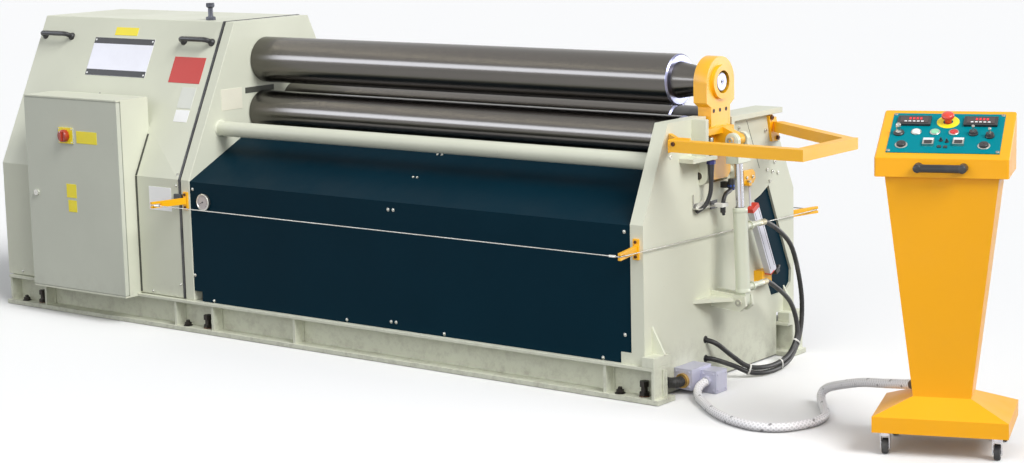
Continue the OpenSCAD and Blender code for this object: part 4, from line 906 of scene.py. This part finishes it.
for cable in ([(1724, -108, 752), (1721, -110, 700), (1706, -122, 655), (1687, -150, 635)],
              [(1720, 34, 700), (1721, 20, 692), (1721, -6, 684), (1721, -22, 664), (1721, -27, 642)]):
    swept(smooth_route(cable, 6), 8)
finished("switch_threads", switch_black)
turned((*tall_switch, 804), UP, [(0, 13), (1.4, 16.8), (13, 16.8), (15, 14)], 6)
turned((*low_switch, 693), UP, [(0, 11), (1, 13), (10, 13), (11, 12)], 6)
finished("cable_nuts", navy_plastic)
turned((*tall_switch, 870), UP, [(0, 10), (0, 15), (1, 16.6), (11, 16.6), (12, 15), (12, 10)], 6)
turned((*tall_switch, 876), UP, [(0, 9.6), (22, 9.6), (24, 8.6), (24, 0)], 20)
finished("sensor_tip", bright_steel)
block((frame_face, -164, 644), (frame_face + 2.5, -40, 664))
block((frame_face, -164, 644), (frame_face + 27, -40, 646.5))
turned((1683, -162, 664), UP, [(0, 2), (34, 2)], 10)
finished("cable_bracket", bright_steel)
turned((1722, -30, 634), (0, 0.25, -1), [(0, 9), (14, 9), (18, 6), (26, 5.4), (26, 0)], 20)
finished("cable_plug", switch_black)
block((1700, -52, 640), (1735, -12, 654))
finished("cable_clip", tie_white, rounding=1.0)

# Small moulded switch box beside the left trip arm, fixed to the front cover. It has no lead that
# can be seen.
block((-652, -490, 548), (-606, -478, 572))
finished("arm_switch", switch_black, rounding=2.0)

# Junction boxes: cast aluminium with ribbed lids and four lid screws each, a brass gland with a
# ribbed black conduit into the base, and a hexagon gland for the braided conduit.
cast = metal("cast_aluminium", (202, 202, 220), 0.5, 0.15, (160, 160, 160), 0.4, 0.2)
dress("junction_box", cast, 2.4, 3)
dress("base_conduit", rubber)
for left, right, y, low, top in ((1684, 1751, -294, 16, 91), (1760, 1816, -236, 0, 81)):
    block((left + 2, y - 1.2, low + 5), (right - 2, y + 1, top - 6))
    for x in (left + 7, right - 7):
        for z in (low + 11, top - 12):
            turned((x, y - 1, z), FRONT, [(0, 4.4), (2, 4.2), (2.8, 2.8), (2.8, 0)], 14)
block((1817.5, -232, 6), (1820.8, -168, 75))
for y in (-226, -174):
    for z in (12, 69):
        turned((1820.6, y, z), RIGHT, [(0, 4.4), (2, 4.2), (2.6, 2.8), (2.6, 0)], 14)
finished("box_lids", cast, rounding=0.8)
gland_brass = metal("gland_brass", (214, 176, 104), 0.34, 0.3, metallic=0.8)
turned((1719, -292, 49), FRONT, [(0, 27), (13, 27), (14.5, 25.5), (14.5, 19), (16, 18.6)], 24)
finished("brass_gland", gland_brass)
turned((1783, -236, 44), FRONT, [(0, 18), (2, 19), (10, 19), (12, 18), (12, 17), (19, 16.4), (20, 15.6)], 6)
finished("braid_gland", bright_steel)
bend = smooth_route([(1560, -348, 49), (1604, -348, 49), (1673, -348, 49), (1697, -347, 49),
                     (1713, -338, 49), (1719, -322, 49), (1719, -306, 49)], 9)
ring_count = 34
for k in range(ring_count):
    at = int(k / (ring_count - 1) * (len(bend) - 1))
    here, beyond = bend[min(at, len(bend) - 2)], bend[min(at + 1, len(bend) - 1)]
    turned(here, beyond - here, [(0, 17.9), (0.8, 19), (2.4, 19), (3.2, 17.9)], 20)
finished("conduit_rings", rubber)

# Console: bevelled pedestal on a low base with a folded lip, and a head with a leaning teal panel
# held by four pan screws. Pedestal and head are folded sheet in bright amber paint.
console_amber = painted("console_amber", (251, 176, 0), 0.38, 0.03, 0.04, 0.1, flow=0.5)
dress("console_stand", console_amber, 4.0, 3)
dress("console_head", console_amber, 6.0, 3)
teal_paint = painted("teal_paint", (0, 132, 144), 0.4, 0.04, 0.05, 0.08, flow=0.05)
dress("control_panel", teal_paint, 0.6)
console_spot, console_turn, head_front_y = (2819, -437, 0), 20, -189
desk = Matrix.Translation(console_spot) @ Matrix.Rotation(math.radians(console_turn), 4, "Z")
panel_face = desk @ face_at(0, head_front_y, 959, 26.76)


def on_panel(x, up_face, profile, sides=28):
    """Lathe-turned form standing on the leaning panel."""
    turned(panel_face @ Vector((x, up_face, 3)), panel_face.to_3x3() @ Vector(UP), profile, sides)


def plate_on_panel(x0, x1, low, high, foot, head):
    """Block on the leaning panel, from that foot to that head above the sheet's back."""
    block((x0, low, foot), (x1, high, head), panel_face)


for x in (-166, 166):
    for s in (36, 238):
        on_panel(x, s, [(0, 6.4), (1.6, 6.2), (2.8, 4.4), (2.8, 1.5), (1.9, 1.4), (1.9, 0)], 18)
finished("panel_screws", screw_zinc)

# Displays: black moulded housings with dark red glass, lit red bars on it and a row of small
# white keys under them. Bars and keys are plain figures.
screen_glass = moulded("screen_glass", (46, 26, 28), 0.12, 60.0, 0.02, 0.005, 0.6)
lit_red = moulded("lit_red", (236, 60, 70), 0.5, 200.0, 0.0, 0.01)
displays = (-104, 101)
for x in displays:
    plate_on_panel(x - 52, x + 52, 173, 221, 3, 12)
finished("display_bezels", switch_black, rounding=1.8)
for x in displays:
    plate_on_panel(x - 43, x + 43, 181, 213, 11, 13.2)
finished("display_glass", screen_glass, rounding=0.4)
for x in displays:
    for bar in range(x - 16, x + 28, 11):
        plate_on_panel(bar, bar + 7, 196, 208, 13, 13.5)
finished("display_bars", lit_red)
for x in displays:
    for key in range(x - 30, x + 35, 13):
        plate_on_panel(key, key + 8, 184, 189, 13, 13.5)
finished("display_keys", plate_white)

# Controls on the panel: joystick, lamps, meters, two levers on round bosses, toggles, three push
# buttons and two small keys. Rims, stick and levers are bright steel, the rest is moulded.
joystick, push_row = (-145, 132), 139
lamps, meters = ((-130, 67), (122, 68)), ((-48, 79), (44, 82))
levers, toggles = ((84, 134), (135, 121)), ((-11, 93), (8, 87))
on_panel(*joystick, [(0, 17), (4, 17), (6, 15), (9, 9), (9, 0)], 32)
for place in lamps:
    on_panel(*place, [(0, 15), (8, 14.6), (9.4, 13), (9.4, 4), (7, 0)], 32)
for x, s in meters:
    plate_on_panel(x - 12, x + 12, s - 13, s + 4, 12, 13.6)
for place in levers:
    on_panel(*place, [(0, 14.6), (4, 14.6), (6, 13), (12, 12), (13, 9), (13, 5)], 30)
for place in toggles:
    on_panel(*place, [(0, 6), (3, 6), (3.6, 4), (12, 2.6), (13, 0)], 18)
finished("panel_knobs", switch_black, rounding=0.6, instead_of="panel_controls")
for place in levers:
    on_panel(*place, [(12, 4.6), (18, 4.0), (25, 3.4), (29, 5), (32, 4), (33, 0)], 20)
for x in (-92, -34, 24):
    on_panel(x, push_row, [(0, 16.4), (3, 16.4), (4.4, 15), (4.4, 12.6)], 32)
for place in lamps:
    on_panel(*place, [(0, 19.5), (2, 19.5), (3, 18), (3, 15)], 36)
for x, s in meters:
    plate_on_panel(x - 17, x + 17, s - 17, s + 17, 2.6, 12.4)
on_panel(*joystick, [(8, 10), (14, 7), (22, 6.6), (26, 8.4), (32, 8.4), (36, 6), (37, 0)])
finished("control_rims", bright_steel)
for x, s in meters:
    plate_on_panel(x - 15, x + 15, s + 5, s + 16, 12.2, 13)
finished("meter_plates", plate_white)
for name, x, colour in (("button_white", -92, (236, 236, 230)),
                        ("button_green", -34, (140, 214, 168)), ("button_red", 24, (206, 36, 32))):
    on_panel(x, push_row, [(3, 12.8), (5, 12.6), (6, 11.4), (6.2, 0)], 32)
    finished(name, moulded(name + "_plastic", colour, 0.28, 240.0, 0.02, 0.02, 0.4))
for x, s in ((-13, 60), (6, 59)):
    plate_on_panel(x - 6, x + 6, s - 6, s + 6, 2.6, 6)
finished("small_keys", switch_black, rounding=0.8)

# Emergency stop: red moulded mushroom over a bare yellow ring. The ring is a flat washer, so the
# button's stem goes down through it.
stop = (0, 198)
on_panel(*stop, [(0, 15.4), (0, 35), (1.2, 35), (1.6, 34), (1.6, 15.4), (0, 15.4)], 48)
bmesh.ops.delete(bench, geom=[f for f in bench.faces if len(f.verts) > 4], context="FACES_ONLY")
bmesh.ops.remove_doubles(bench, verts=bench.verts[:], dist=0.01)
finished("stop_ring", plate_yellow)
on_panel(*stop, [(1.2, 11), (18, 11), (18.6, 17), (20, 19.6), (25, 20), (29, 18.6), (32.4, 14), (34, 7),
                 (34.3, 0)], 40)
finished("stop_mushroom", red_plastic, "stop_button", crease=45, instead_of="emergency_stop")

# Console handle: black moulded bar across two round feet on the head's front, under the panel's
# lower edge.
turned((-74, 0, 31), RIGHT, [(0, 10), (1.5, 12.5), (146.5, 12.5), (148, 10)])
for x in (-68, 68):
    turned((x, 0, 0), UP, [(0, 14.5), (30, 13.5), (41, 13), (43.5, 10), (43.5, 0)])
finished("console_grip", black_plastic, crease=50,
         place=desk @ face_at(0, head_front_y, 932), instead_of="console_handle")

# Casters: pressed chrome forks with a rounded crown, grey-black rubber tyres on a bright hub that
# shows on both sides of the wheel.
fork_chrome = metal("fork_chrome", (206, 206, 210), 0.2, 0.15, (120, 120, 120), 0.04)
tyre = moulded("tyre_rubber", (38, 38, 40), 0.55, 500.0, 0.25, 0.1)
corners = ((-175, -127, 0), (175, -127, 0), (175, 127, 180), (-175, 127, 180))
for number, (x, y, turn) in enumerate(corners, 1):
    dress(f"caster_fork_{number}", fork_chrome, 1.0)
    dress(f"caster_wheel_{number}", tyre, 2.4, 3)
    place = desk @ Matrix.Translation((x, y, 0)) @ Matrix.Rotation(math.radians(turn), 4, "Z")
    for way in (-1, 1):
        turned((way * 10, 10, 25), (way, 0, 0),
               [(0, 15), (0.5, 15), (0.8, 13.6), (0.4, 8), (0.9, 7), (0.9, 4.6)], 30)
    finished(f"wheel_hub_{number}", fork_chrome, f"wheel_{number}", place=place)
